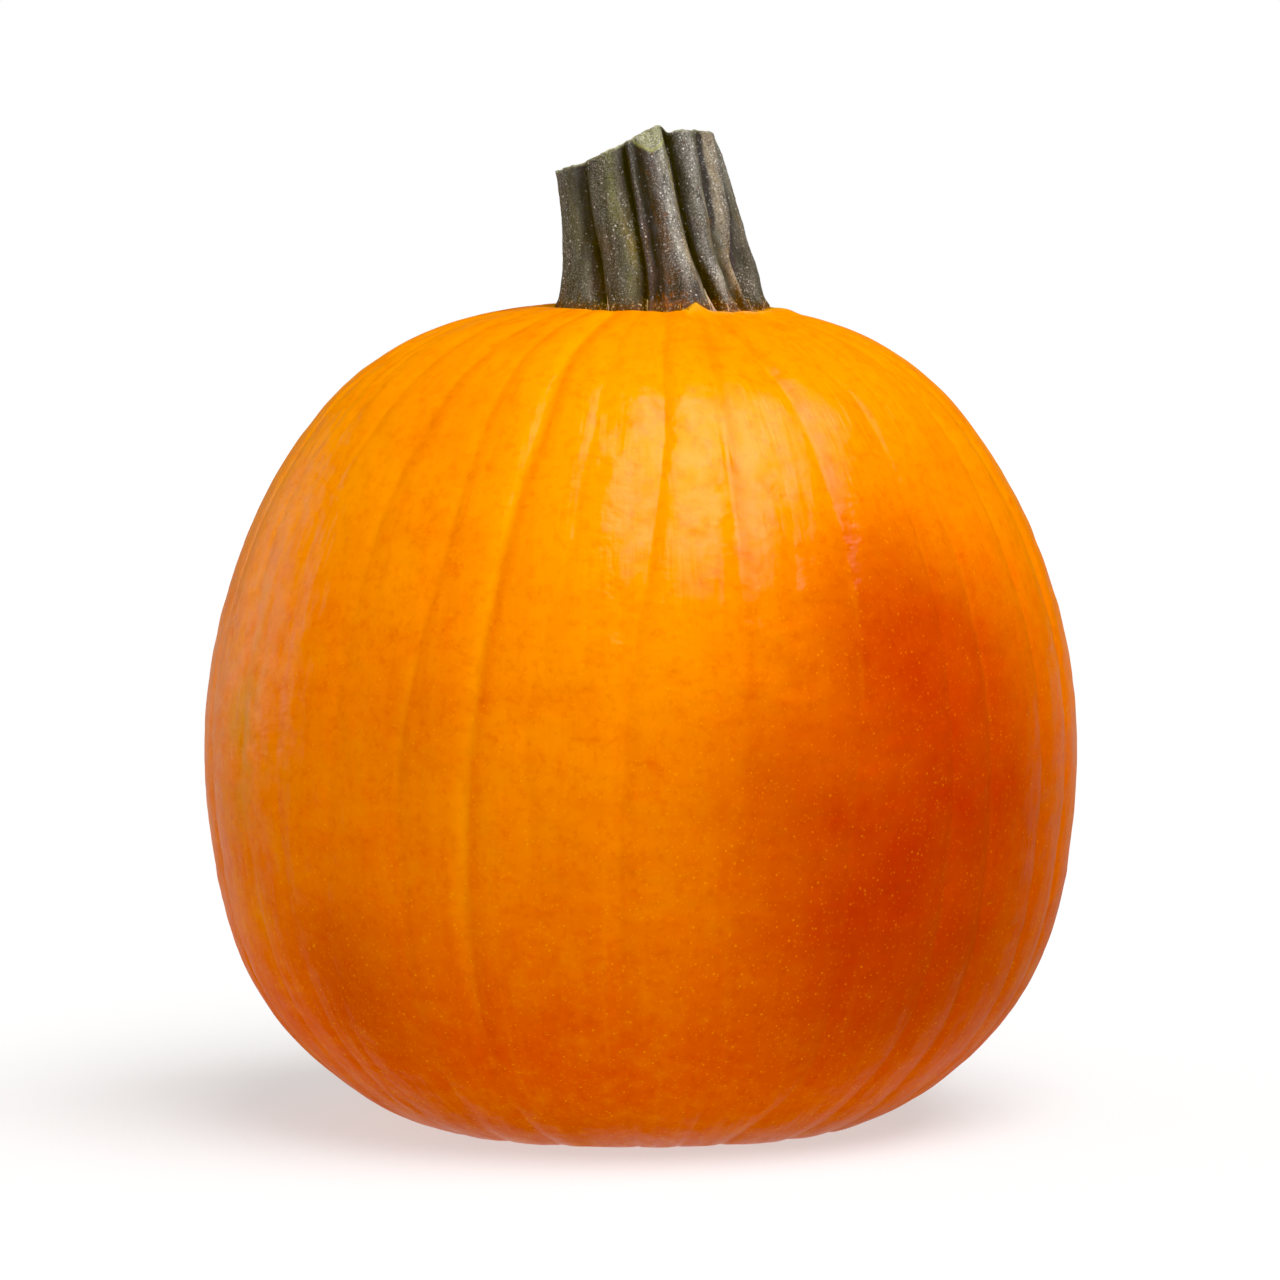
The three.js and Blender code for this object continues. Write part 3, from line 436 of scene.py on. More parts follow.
# ------------------------------------------------------------------ stalk
def stalk_side(direc, z):
    """Radius, centre and rib facts of the stalk in direction direc (degrees, -180..180 or so) at height z."""
    t = np.clip((z - STALK_H[0]) / 46, 0, 1)
    n = len(STALK_GROOVES)
    ga, gd = [], []
    for i in range(-2, n + 3):
        k = i % n
        base = 360 * (i // n)
        ga.append(curve(t, STALK_T, STALK_GROOVES[k][0]) + base)
        gd.append(STALK_GROOVES[k][1] * (1 + (STALK_GROOVES[k][2] - 1) * t))
    ga, gd = np.array(ga), np.array(gd)
    d = np.where(direc < ga[1], direc + 360, direc)
    idx = np.clip((d[None] >= ga).sum(axis=0) - 1, 0, len(ga) - 2)
    a = np.take_along_axis(ga, idx[None], 0)[0]
    b = np.take_along_axis(ga, idx[None] + 1, 0)[0]
    da = np.take_along_axis(gd, idx[None], 0)[0]
    db = np.take_along_axis(gd, idx[None] + 1, 0)[0]
    s = np.clip((d - a) / (b - a), 0, 1)
    depth = da * (1 - s) + db * s
    rib = (idx - 2) % n
    return curve(z, STALK_H, STALK_R), curve(z, STALK_H, STALK_X), s, depth, rib, b - a


def cut_z(x, y):
    return curve(x, CUT_X, CUT_Z) - CUT_FALL * (y + 22)


def frayed_strands(on_stalk, on_skin):
    """Thin dry strands of bark that come away at the foot of the stalk and lie on the skin."""
    rs = np.random.RandomState(11)
    # direction and height where each leaves the stalk, direction and reach where it ends, thickness, tone
    plan = [(-33.0, 3.2, -30.6, 0.9, 0.13, 0.80), (-31.0, 0.9, -36.0, 2.2, 0.24, 0.85), (-31.2, 1.2, -28.0, 1.7, 0.13, 0.90),
            (27.6, 3.0, 26.2, 0.8, 0.17, 0.66), (27.4, 4.2, 25.2, 2.6, 0.30, 0.9), (27.6, 2.6, 30.0, 3.6, 0.44, 1.0), (29.5, 0.9, 34.0, 3.6, 0.34, 0.95), (25.6, 2.8, 27.6, 0.7, 0.16, 0.5),
            (36.0, 0.8, 39.0, 2.4, 0.24, 0.8), (-9.0, 1.9, -6.4, 1.0, 0.24, 0.6), (-8.0, 1.4, -11.5, 1.2, 0.18, 0.6), (1.5, 0.9, 3.5, 1.4, 0.20, 0.1),
            (9.0, 0.8, 7.5, 1.5, 0.20, 0.15), (44.0, 2.0, 47.0, 1.0, 0.15, 0.6), (58.0, 1.3, 61.0, 1.8, 0.22, 0.55)]
    for i in range(46):
        t = rs.uniform(-180, 180)
        plan.append((t, rs.uniform(0.1, 0.7), t + rs.normal(0, 5.0), rs.uniform(0.3, 1.4), rs.uniform(0.05, 0.11), rs.uniform(0.0, 0.8)))
    verts, quads, tris, uvq, uvt, tone = [], [], [], [], [], []
    seg, ring = 8, 5
    for n, (t0, h0, t1, reach, thick, shade) in enumerate(plan):
        pts = []
        for k in range(seg + 1):
            f = k / seg
            t = t0 + (t1 - t0) * f + 0.5 * math.sin(3.0 * f + n)
            a = math.radians(t)
            out = np.array([math.sin(a), -math.cos(a), 0.0])
            if f < 0.45:
                q = on_stalk(t, h0 * (1 - f / 0.45) + 0.15) + out * (0.10 + 0.10 * f)
            else:
                g = (f - 0.45) / 0.55
                base = on_stalk(t, 0.15) + out * (0.15 + reach * g)
                q = np.array([base[0], base[1], on_skin(base[0], base[1]) + 0.10 + 0.35 * g * g * math.sin(n * 1.7) ** 2])
            pts.append(q)
        pts = np.array(pts)
        pts[1:-1] = 0.25 * pts[:-2] + 0.5 * pts[1:-1] + 0.25 * pts[2:]
        tan = np.gradient(pts, axis=0)
        tan /= np.linalg.norm(tan, axis=1, keepdims=True) + 1e-9
        side_v = np.cross(tan, [0, 0, 1.0])
        side_v += 1e-4
        side_v /= np.linalg.norm(side_v, axis=1, keepdims=True)
        up = np.cross(side_v, tan)
        base_i = len(verts)
        for k in range(seg + 1):
            w = thick * (0.35 + 0.65 * math.sin(math.pi * (0.12 + 0.80 * k / seg)))
            for m in range(ring):
                b = 2 * math.pi * m / ring
                verts.append(pts[k] + side_v[k] * w * math.cos(b) + up[k] * 0.5 * w * math.sin(b))
                tone.append(shade)
        u0, v0 = 0.42 + 0.0031 * (n % 60), 0.63 + 0.085 * (n // 60)
        for k in range(seg):
            for m in range(ring):
                m2 = (m + 1) % ring
                quads.append([base_i + k * ring + m, base_i + k * ring + m2, base_i + (k + 1) * ring + m2, base_i + (k + 1) * ring + m])
                uvq.append([(u0 + 0.0005 * m, v0 + 0.012 * k), (u0 + 0.0005 * (m + 1), v0 + 0.012 * k), (u0 + 0.0005 * (m + 1), v0 + 0.012 * (k + 1)), (u0 + 0.0005 * m, v0 + 0.012 * (k + 1))])
        for end, order in ((0, (0, 2, 1)), (seg, (0, 1, 2))):
            b0 = base_i + end * ring
            for m in range(1, ring - 1):
                tri = (b0, b0 + m, b0 + m + 1)
                tris.append([tri[o] for o in order])
                uvt.append([(u0, v0), (u0 + 0.0004, v0), (u0, v0 + 0.0004)])
    return np.array(verts), np.array(quads), np.array(tris), np.array(uvq), np.array(uvt), np.array(tone)


def stalk_mesh(skin_top):
    cols, side_rows, cap_rows = 540, 124, 34
    direc = np.arange(cols) * 360.0 / cols - 178.0
    foot = SEAT_Z - 3.2
    zr = np.full(cols, 258.0)
    ragged = 0.35 * noise(np.cos(np.radians(direc)) * 9, np.sin(np.radians(direc)) * 9, 0.2, 40) + 0.16 * noise(
        np.cos(np.radians(direc)) * 30, np.sin(np.radians(direc)) * 30, 0.2, 41)
    for _ in range(14):
        R, cx, s, depth, rib, wdt = stalk_side(direc, zr)
        r = R - depth * np.abs(2 * s - 1) ** 2.2
        x, y = cx + r * np.sin(np.radians(direc)), -r * np.cos(np.radians(direc))
        zr = 0.5 * zr + 0.5 * (cut_z(x, y) + ragged)
    f = np.linspace(0, 1, side_rows)
    f = 0.25 * f * f + 0.75 * f
    Z = foot + (zr[None, :] - foot) * f[:, None]
    D = np.repeat(direc[None, :], side_rows, 0)
    R, CX, S, depth, rib, wdt = stalk_side(D, Z)
    th = np.radians(D)
    edge = np.abs(2 * S - 1)
    # proud or slack ribs
    proud = np.array([0.7, 0.0, 1.2, -0.3, 0.5, -0.7, -0.6, 0.0, 0.5, 0.1, 0.4, 0.0, 0.5, 0.1, 0.1])[rib]
    r = R - depth * edge ** 2.2 + proud * (1 - edge ** 2)
    cx_, sy_ = np.cos(th) * 24, np.sin(th) * 24
    H = Z - SEAT_Z
    lean = H * 0.10
    # cords that run with the ribs, creases between them, warts and pits
    wav = Z + 6 * noise(cx_ / 8, sy_ / 8, Z / 16, 56)
    cord = 0.62 * noise(cx_ / 2.6, sy_ / 2.6, wav / 26, 50) + 0.34 * noise(cx_ / 1.15, sy_ / 1.15, wav / 15, 51)
    crease = -0.42 * np.exp(-np.abs(noise(cx_ / 3.4, sy_ / 3.4, wav / 34, 57)) / 0.035) * smooth(0.1, 0.5, 1 - edge)
    lump = 0.50 * noise(cx_ / 4.6, sy_ / 4.6, Z / 9, 52) + 0.14 * noise(cx_ / 2.0, sy_ / 2.0, Z / 3.2, 53)
    wart = 0.15 * np.clip(noise(cx_ / 0.9, sy_ / 0.9, Z / 1.0, 54) - 0.12, 0, 1) - 0.08 * np.clip(noise(cx_ / 1.3, sy_ / 1.3, Z / 1.5, 55), 0, 1)
    r = r + (cord + lump) * smooth(-0.2, 0.35, 1 - edge) + crease + wart
    # the foot spreads on to the fruit in uneven toes
    toe = 0.9 + 0.9 * noise(np.cos(th) * 5, np.sin(th) * 5, 0.4, 60) + 0.6 * noise(np.cos(th) * 16, np.sin(th) * 16, 0.4, 61)
    r = r + toe * np.exp(-np.clip(H + 1.2, 0, 50) / 1.8) + 0.9 * np.clip(noise(np.cos(th) * 34, np.sin(th) * 34, Z / 4, 62), -0.2, 1) * np.exp(-np.clip(H + 0.9, 0, 50) / 1.1)
    # the shaved top of the rib in front
    theta = (D + 180) % 360 - 180
    facet_low = 256.6 + 0.07 * np.abs(theta - 8) ** 1.5 + 0.5 * noise(th * 9, 0.3, 0.2, 63)
    facet = smooth(-3.5, 0.5, theta) * (1 - smooth(18, 20.5, theta)) * smooth(-0.4, 1.6, Z - facet_low + 1.1 * noise(th * 16, Z / 1.4, 0.2, 64))
    r = r - np.clip(Z - facet_low, 0, 8) * 0.55 * smooth(-4.5, 0.5, theta) * (1 - smooth(17.5, 20, theta))
    X = CX + r * np.sin(th)
    Y = -r * np.cos(th)
    side = np.stack([X, Y, Z], -1)
    # the cut face
    rim = side[-1]
    c0 = np.array([curve(np.array(260.0), STALK_H, STALK_X), 0.0])
    k = 1 - np.linspace(0, 1, cap_rows + 1)[1:] ** 1.0 * 0.985
    cx2 = c0[0] + (rim[None, :, 0] - c0[0]) * k[:, None]
    cy2 = (rim[None, :, 1]) * k[:, None]
    cz2 = cut_z(cx2, cy2)
    rim_off = rim[:, 2] - cut_z(rim[:, 0], rim[:, 1])
    cz2 = cz2 + rim_off[None, :] * smooth(0.9, 1.0, k)[:, None]
    rad = np.hypot(cx2 - c0[0], cy2)
    aa = np.arctan2(cy2, cx2 - c0[0])
    pith = noise(cx2 / 2.2, cy2 / 2.2, 0.6, 70) * 0.35 + noise(cx2 / 0.8, cy2 / 0.8, 0.6, 71) * 0.16
    hollow = 2.6 * (1 - smooth(1.6, 4.2, rad + 0.9 * noise(np.cos(aa) * 1.7, np.sin(aa) * 1.7, 0.1, 72)))
    dish = 0.9 * (1 - smooth(0.35, 0.98, k))[:, None]
    ringz = 0.35 * bell(k, 0.86, 0.05)[:, None]
    saw = 0.10 * np.sin((cx2 * 0.8 + cy2 * 0.6) * 2.4 + 2.0 * noise(cx2 / 6, cy2 / 6, 0.3, 73))
    cz2 = cz2 + (pith + saw) * (1 - smooth(0.93, 1.0, k))[:, None] - hollow - dish + ringz
    cap = np.stack([cx2, cy2, cz2], -1)
    allp = np.concatenate([side, cap], 0)
    allp[..., 0] -= CENTRE[0]
    allp[..., 1] -= CENTRE[1]
    nr, nc = allp.shape[:2]
    verts = allp.reshape(-1, 3)
    fray = frayed_strands(lambda t, h: allp[min(int(np.searchsorted(Z[:, 0], SEAT_Z + h)), side_rows - 1), int(round((t + 178) % 360 / 360 * cols)) % cols], skin_top)
    centre_top = [c0[0] - CENTRE[0], -CENTRE[1], float(allp[-1, :, 2].mean())]
    verts = np.vstack([verts, [[SEAT_X - CENTRE[0], -CENTRE[1], foot]], [centre_top]])
    rings = [np.arange(nc) + i * nc for i in range(nr)]
    quads, tris = grid_faces(rings, True, bottom=nr * nc, top=nr * nc + 1)
    cu = np.arange(nc + 1) / nc
    rq = np.repeat(np.arange(nr - 1), nc)
    cq = np.tile(np.arange(nc), nr - 1)
    vv = np.concatenate([0.004 + 0.60 * f, np.full(cap_rows, 0.604)])
    band = np.stack([
        np.stack([0.002 + 0.996 * cu[cq], vv[rq]], -1), np.stack([0.002 + 0.996 * cu[cq + 1], vv[rq]], -1),
        np.stack([0.002 + 0.996 * cu[cq + 1], vv[rq + 1]], -1), np.stack([0.002 + 0.996 * cu[cq], vv[rq + 1]], -1)], 1)
    vx, vy = verts[:, 0], verts[:, 1]
    disc = lambda idx, ox, cx, cy, sc: np.stack([cx + (vx[idx] - ox) * sc, cy + vy[idx] * sc], -1)
    cap_q = rq >= side_rows - 1
    band[cap_q] = disc(quads[cap_q], c0[0], 0.2, 0.81, 0.0075)
    half = len(tris) // 2
    uvt = np.concatenate([disc(tris[:half], SEAT_X, 0.80, 0.81, 0.0062), disc(tris[half:], c0[0], 0.2, 0.81, 0.0075)])
    body = len(verts)
    verts = np.vstack([verts, fray[0]])
    quads, tris = np.vstack([quads, fray[1] + body]), np.vstack([tris, fray[2] + body])
    band, uvt = np.concatenate([band, fray[3]]), np.concatenate([uvt, fray[4]])
    extra = len(fray[0])

    # where each tint of the bark lies
    full = lambda a: np.concatenate([np.asarray(a, float), np.zeros((cap_rows, nc))], 0)
    Hf = H / 47.0
    ridge = 1 - edge
    isrib = lambda i: (rib == i).astype(float)
    # ribs: 14 is left of the first groove, 0 to 2 are in front, 3 and 4 at the right
    gold = isrib(0) * bell(S, 0.86, 0.09) * bell(Hf, 0.42, 0.20) + 0.9 * isrib(2) * bell(S, 0.86, 0.08) * smooth(0.1, 0.4, Hf) * (1 - 0.6 * smooth(0.75, 0.95, Hf)) \
        + 0.9 * isrib(4) * bell(S, 0.88, 0.14) * bell(Hf, 0.48, 0.14)
    olive = isrib(0) * bell(S, 0.66, 0.14) * smooth(0.30, 0.6, Hf) + 0.8 * isrib(0) * bell(S, 0.74, 0.18) * bell(Hf, 0.2, 0.2) + 0.4 * isrib(3) * bell(S, 0.85, 0.15) \
        + 0.45 * isrib(14) * bell(S, 0.72, 0.16) * bell(Hf, 0.45, 0.3) + 0.35 * isrib(5) * bell(S, 0.2, 0.2) + 0.6 * isrib(8) * bell(S, 0.7, 0.2) + 0.5 * isrib(11) * bell(S, 0.25, 0.2) \
        + 0.5 * isrib(6) * bell(S, 0.5, 0.2) * bell(Hf, 0.6, 0.3) + 0.7 * isrib(2) * bell(S, 0.80, 0.12) * smooth(0.6, 0.85, Hf)
    tan = 0.9 * isrib(2) * bell(S, 0.82, 0.10) * bell(Hf, 0.25, 0.25) + 1.2 * isrib(4) * bell(S, 0.50, 0.35) * bell(Hf, 0.20, 0.16) + 0.8 * isrib(4) * bell(S, 0.30, 0.25) * smooth(0.35, 0.6, Hf) \
        + 0.5 * isrib(3) * bell(S, 0.80, 0.12) * bell(Hf, 0.40, 0.3) + 0.6 * isrib(0) * bell(S, 0.36, 0.16) * bell(Hf, 0.33, 0.09) + 0.5 * isrib(10) * bell(S, 0.8, 0.12) + 0.4 * isrib(7) * bell(S, 0.3, 0.2) \
        + 0.5 * isrib(5) * bell(S, 0.45, 0.2) * bell(Hf, 0.5, 0.2)
    rust = 1.0 * bell(theta, -80, 10) * bell(Hf, 0.05, 0.10) + isrib(2) * bell(S, 0.28, 0.2) * bell(Hf, 0.30, 0.34) + 1.0 * isrib(0) * bell(S, 0.10, 0.16) * bell(Hf, 0.22, 0.24) + isrib(1) * bell(Hf, 0.25, 0.3) \
        + 1.0 * isrib(14) * bell(S, 0.95, 0.06) * bell(Hf, 0.2, 0.22) + 0.6 * isrib(14) * bell(S, 0.20, 0.08) * bell(Hf, 0.1, 0.2) + 0.6 * isrib(9) * bell(S, 0.3, 0.3) * bell(Hf, 0.3, 0.3) + 0.5 * isrib(12) * bell(S, 0.5, 0.3) * bell(Hf, 0.5, 0.3)
    pale = 1.5 * isrib(2) * bell(S, 0.64, 0.17) * smooth(0.05, 0.35, Hf) + 0.9 * isrib(3) * bell(S, 0.52, 0.24) * (0.4 + 0.6 * smooth(0.2, 0.8, Hf)) \
        + 0.9 * isrib(3) * bell(S, 0.55, 0.3) * bell(Hf, 0.16, 0.10) + 1.1 * isrib(5) * bell(S, 0.22, 0.2) * bell(Hf, 0.12, 0.09) + 0.7 * isrib(4) * bell(S, 0.35, 0.3) * smooth(0.35, 0.6, Hf) \
        + 0.8 * isrib(5) * bell(S, 0.25, 0.25) * smooth(0.5, 0.8, Hf) + 0.5 * isrib(14) * bell(S, 0.86, 0.07) * bell(Hf, 0.1, 0.14) + 0.15 * isrib(0) * bell(S, 0.55, 0.2) * bell(Hf, 0.12, 0.14) \
        + 0.7 * isrib(8) * bell(S, 0.5, 0.2) + 0.6 * isrib(12) * bell(S, 0.5, 0.25)
    # painted shade that lies in the grooves, wider in the three deep ones in front
    groove_x = [curve(np.clip(H / 46, 0, 1), STALK_T, g[0]) for g in STALK_GROOVES]
    painted_groove_shade = np.zeros_like(H)
    for i, (wide, strong, side_to) in {0: (2.9, 1.0, -0.8), 1: (1.8, 1.0, 0.2), 2: (1.7, 0.9, 0.6), 3: (1.9, 0.9, 0.3), 4: (1.2, 0.85, 0.0), 5: (2.1, 1.0, 0.5)}.items():
        gap = ((theta - groove_x[i] + 180) % 360 - 180) * 0.42 - side_to
        fade = {4: smooth(0.36, 0.5, Hf) + 0.3, 5: bell(Hf, 0.40, 0.34)}.get(i, 1.0)
        painted_groove_shade = np.maximum(painted_groove_shade, strong * fade * np.exp(-np.abs(gap / wide) ** 2.6))
    for i in range(6, 15):
        gap = ((theta - groove_x[i] + 180) % 360 - 180) * 0.42
        painted_groove_shade = np.maximum(painted_groove_shade, 0.8 * np.exp(-np.abs(gap / 1.5) ** 2.4))
    # painted shade: the flanks turned away from the right-hand side are darker, and so is the foot of the second rib;
    # random dark mottling lies on top
    painted_shade_and_mottle = 0.75 * bell(S, 0.12, 0.24) * np.isin(rib, [0, 2, 3, 5, 14]) + 1.0 * isrib(0) * bell(S, 0.40, 0.30) * smooth(0.60, 0.25, Hf) + 0.45 * isrib(5) * bell(Hf, 0.35, 0.3) * bell(S, 0.5, 0.3) \
        + 0.75 * np.clip(noise(cx_ / 3.2, sy_ / 3.2, Z / 17, 58) * 2.6 - 0.1, 0, 1)
    warm = smooth(0.55, 0.15, Hf) * np.maximum(bell(theta, -38, 14), 0.6)
    moss = bell(theta, -42, 20) + 0.5 * bell(theta, 95, 30) + 0.6 * bell(theta, -150, 30)
    ember = bell(theta, 5, 11) + 0.8 * bell(theta, -84, 9) + 0.45 * bell(theta, 40, 14) + 0.6 * bell(theta, 150, 30)
    rimline = bell(Z - facet_low, -0.1, 0.45) * smooth(-5, -1, theta) * (1 - smooth(19, 22, theta))
    cutm = np.concatenate([facet, np.ones((cap_rows, nc))], 0)
    cutm[side_rows - 1] = 1
    cutm[side_rows - 2] = np.maximum(cutm[side_rows - 2], 0.45)
    cutm[side_rows - 2:side_rows] *= 1 - 0.75 * (smooth(17, 24, theta[-1]) * (1 - smooth(95, 110, theta[-1])))[None, :]
    kk = np.concatenate([np.ones((side_rows, nc)), np.repeat(k[:, None], nc, 1)], 0)
    pad = lambda a, lo, hi: np.concatenate([np.asarray(a, float).ravel(), [lo, hi], np.zeros(extra)])
    bark = np.stack([full(cx_) + 0, full(sy_), np.concatenate([Z, np.repeat(Z[-1:], cap_rows, 0)], 0)], -1).reshape(-1, 3) * MM
    bark = np.vstack([bark, [[0, 0, 0]], [[0, 0, 0.26]], fray[0] * MM])
    attrs = {
        "bark": bark,
        "ridge": pad(full(ridge), 0, 0),
        "height": pad(np.concatenate([Hf, np.ones((cap_rows, nc))], 0), 0, 1),
        "olive": pad(full(olive), 0, 0),
        "tan": pad(full(tan), 0, 0),
        "rust": pad(full(rust), 0, 0),
        "pale": pad(full(pale), 0, 0),
        "gold": pad(full(gold), 0, 0),
        "moss": pad(full(moss), 0, 0),
        "ember": pad(full(ember), 0, 0),
        "cut": pad(cutm, 0, 1),
        "cut_r": pad(kk, 1, 0),
        "low": pad(full(np.exp(-np.clip(H + 0.5, 0, 99) / 2.1)), 1, 0),
        "painted_groove_shade": pad(full(painted_groove_shade), 0, 0),
        "warm": pad(full(warm), 0, 0),
        "painted_shade_and_mottle": pad(full(painted_shade_and_mottle), 0, 0),
        "rimline": pad(full(rimline), 0, 0),
        "strand": np.concatenate([np.zeros(body), np.ones(extra)]),
        "strand_tone": np.concatenate([np.zeros(body), fray[5]]),
    }
    return make_mesh("stalk_bark", verts, quads, tris, band, uvt, attrs)


# ------------------------------------------------------------------ shader helpers
class Nodes:
    def __init__(self, name):
        self.mat = bpy.data.materials.new(name)
        self.mat.use_nodes = True
        self.t = self.mat.node_tree
        self.t.nodes.clear()
        self.out = self.t.nodes.new("ShaderNodeOutputMaterial")
        self.bsdf = self.t.nodes.new("ShaderNodeBsdfPrincipled")
        self.t.links.new(self.bsdf.outputs["BSDF"], self.out.inputs["Surface"])

    def put(self, socket, value):
        if hasattr(value, "is_output") or isinstance(value, bpy.types.NodeSocket):
            self.t.links.new(value, socket)
        elif isinstance(value, (tuple, list)):
            socket.default_value = (*value, 1.0) if len(value) == 3 and len(socket.default_value) == 4 else tuple(value)
        else:
            socket.default_value = value

    def attr(self, name, out="Fac"):
        n = self.t.nodes.new("ShaderNodeAttribute")
        n.attribute_name = name
        return n.outputs[out]

    def obj(self):
        n = self.t.nodes.new("ShaderNodeTexCoord")
        return n.outputs["Object"]

    def scaled(self, vec, s):
        n = self.t.nodes.new("ShaderNodeVectorMath")
        n.operation = "MULTIPLY"
        self.t.links.new(vec, n.inputs[0])
        n.inputs[1].default_value = s
        return n.outputs[0]

    def offset(self, vec, s):
        n = self.t.nodes.new("ShaderNodeVectorMath")
        n.operation = "ADD"
        self.t.links.new(vec, n.inputs[0])
        self.put(n.inputs[1], s)
        return n.outputs[0]

    def noise(self, vec, scale, detail=3.0, rough=0.5, out="Fac", distortion=0.0):
        n = self.t.nodes.new("ShaderNodeTexNoise")
        self.t.links.new(vec, n.inputs["Vector"])
        n.inputs["Scale"].default_value = scale
        n.inputs["Detail"].default_value = detail
        n.inputs["Roughness"].default_value = rough
        n.inputs["Distortion"].default_value = distortion
        return n.outputs[out]

    def voronoi(self, vec, scale, feature="F1", randomness=1.0):
        n = self.t.nodes.new("ShaderNodeTexVoronoi")
        n.feature = feature
        self.t.links.new(vec, n.inputs["Vector"])
        n.inputs["Scale"].default_value = scale
        n.inputs["Randomness"].default_value = randomness
        return n

    def math(self, op, a, b=0.0, c=0.0, clamp=False):
        n = self.t.nodes.new("ShaderNodeMath")
        n.operation = op
        n.use_clamp = clamp
        for i, v in enumerate((a, b, c)):
            if i < len(n.inputs):
                self.put(n.inputs[i], v)
        return n.outputs[0]

    def ramp(self, value, lo, hi, to0=0.0, to1=1.0, kind="SMOOTHSTEP"):
        n = self.t.nodes.new("ShaderNodeMapRange")
        n.interpolation_type = kind
        n.clamp = True
        self.put(n.inputs["Value"], value)
        n.inputs["From Min"].default_value = lo
        n.inputs["From Max"].default_value = hi
        n.inputs["To Min"].default_value = to0
        n.inputs["To Max"].default_value = to1
        return n.outputs[0]

    def mix(self, fac, a, b, mode="MIX"):
        n = self.t.nodes.new("ShaderNodeMix")
        n.data_type = "RGBA"
        n.blend_type = mode
        n.clamp_factor = True
        self.put(n.inputs[0], fac)
        self.put(n.inputs[6], a)
        self.put(n.inputs[7], b)
        return n.outputs[2]

    def bump(self, height, distance, strength=1.0, normal=None):
        n = self.t.nodes.new("ShaderNodeBump")
        n.inputs["Strength"].default_value = strength
        n.inputs["Distance"].default_value = distance
        self.t.links.new(height, n.inputs["Height"])
        if normal is not None:
            self.t.links.new(normal, n.inputs["Normal"])
        return n.outputs[0]


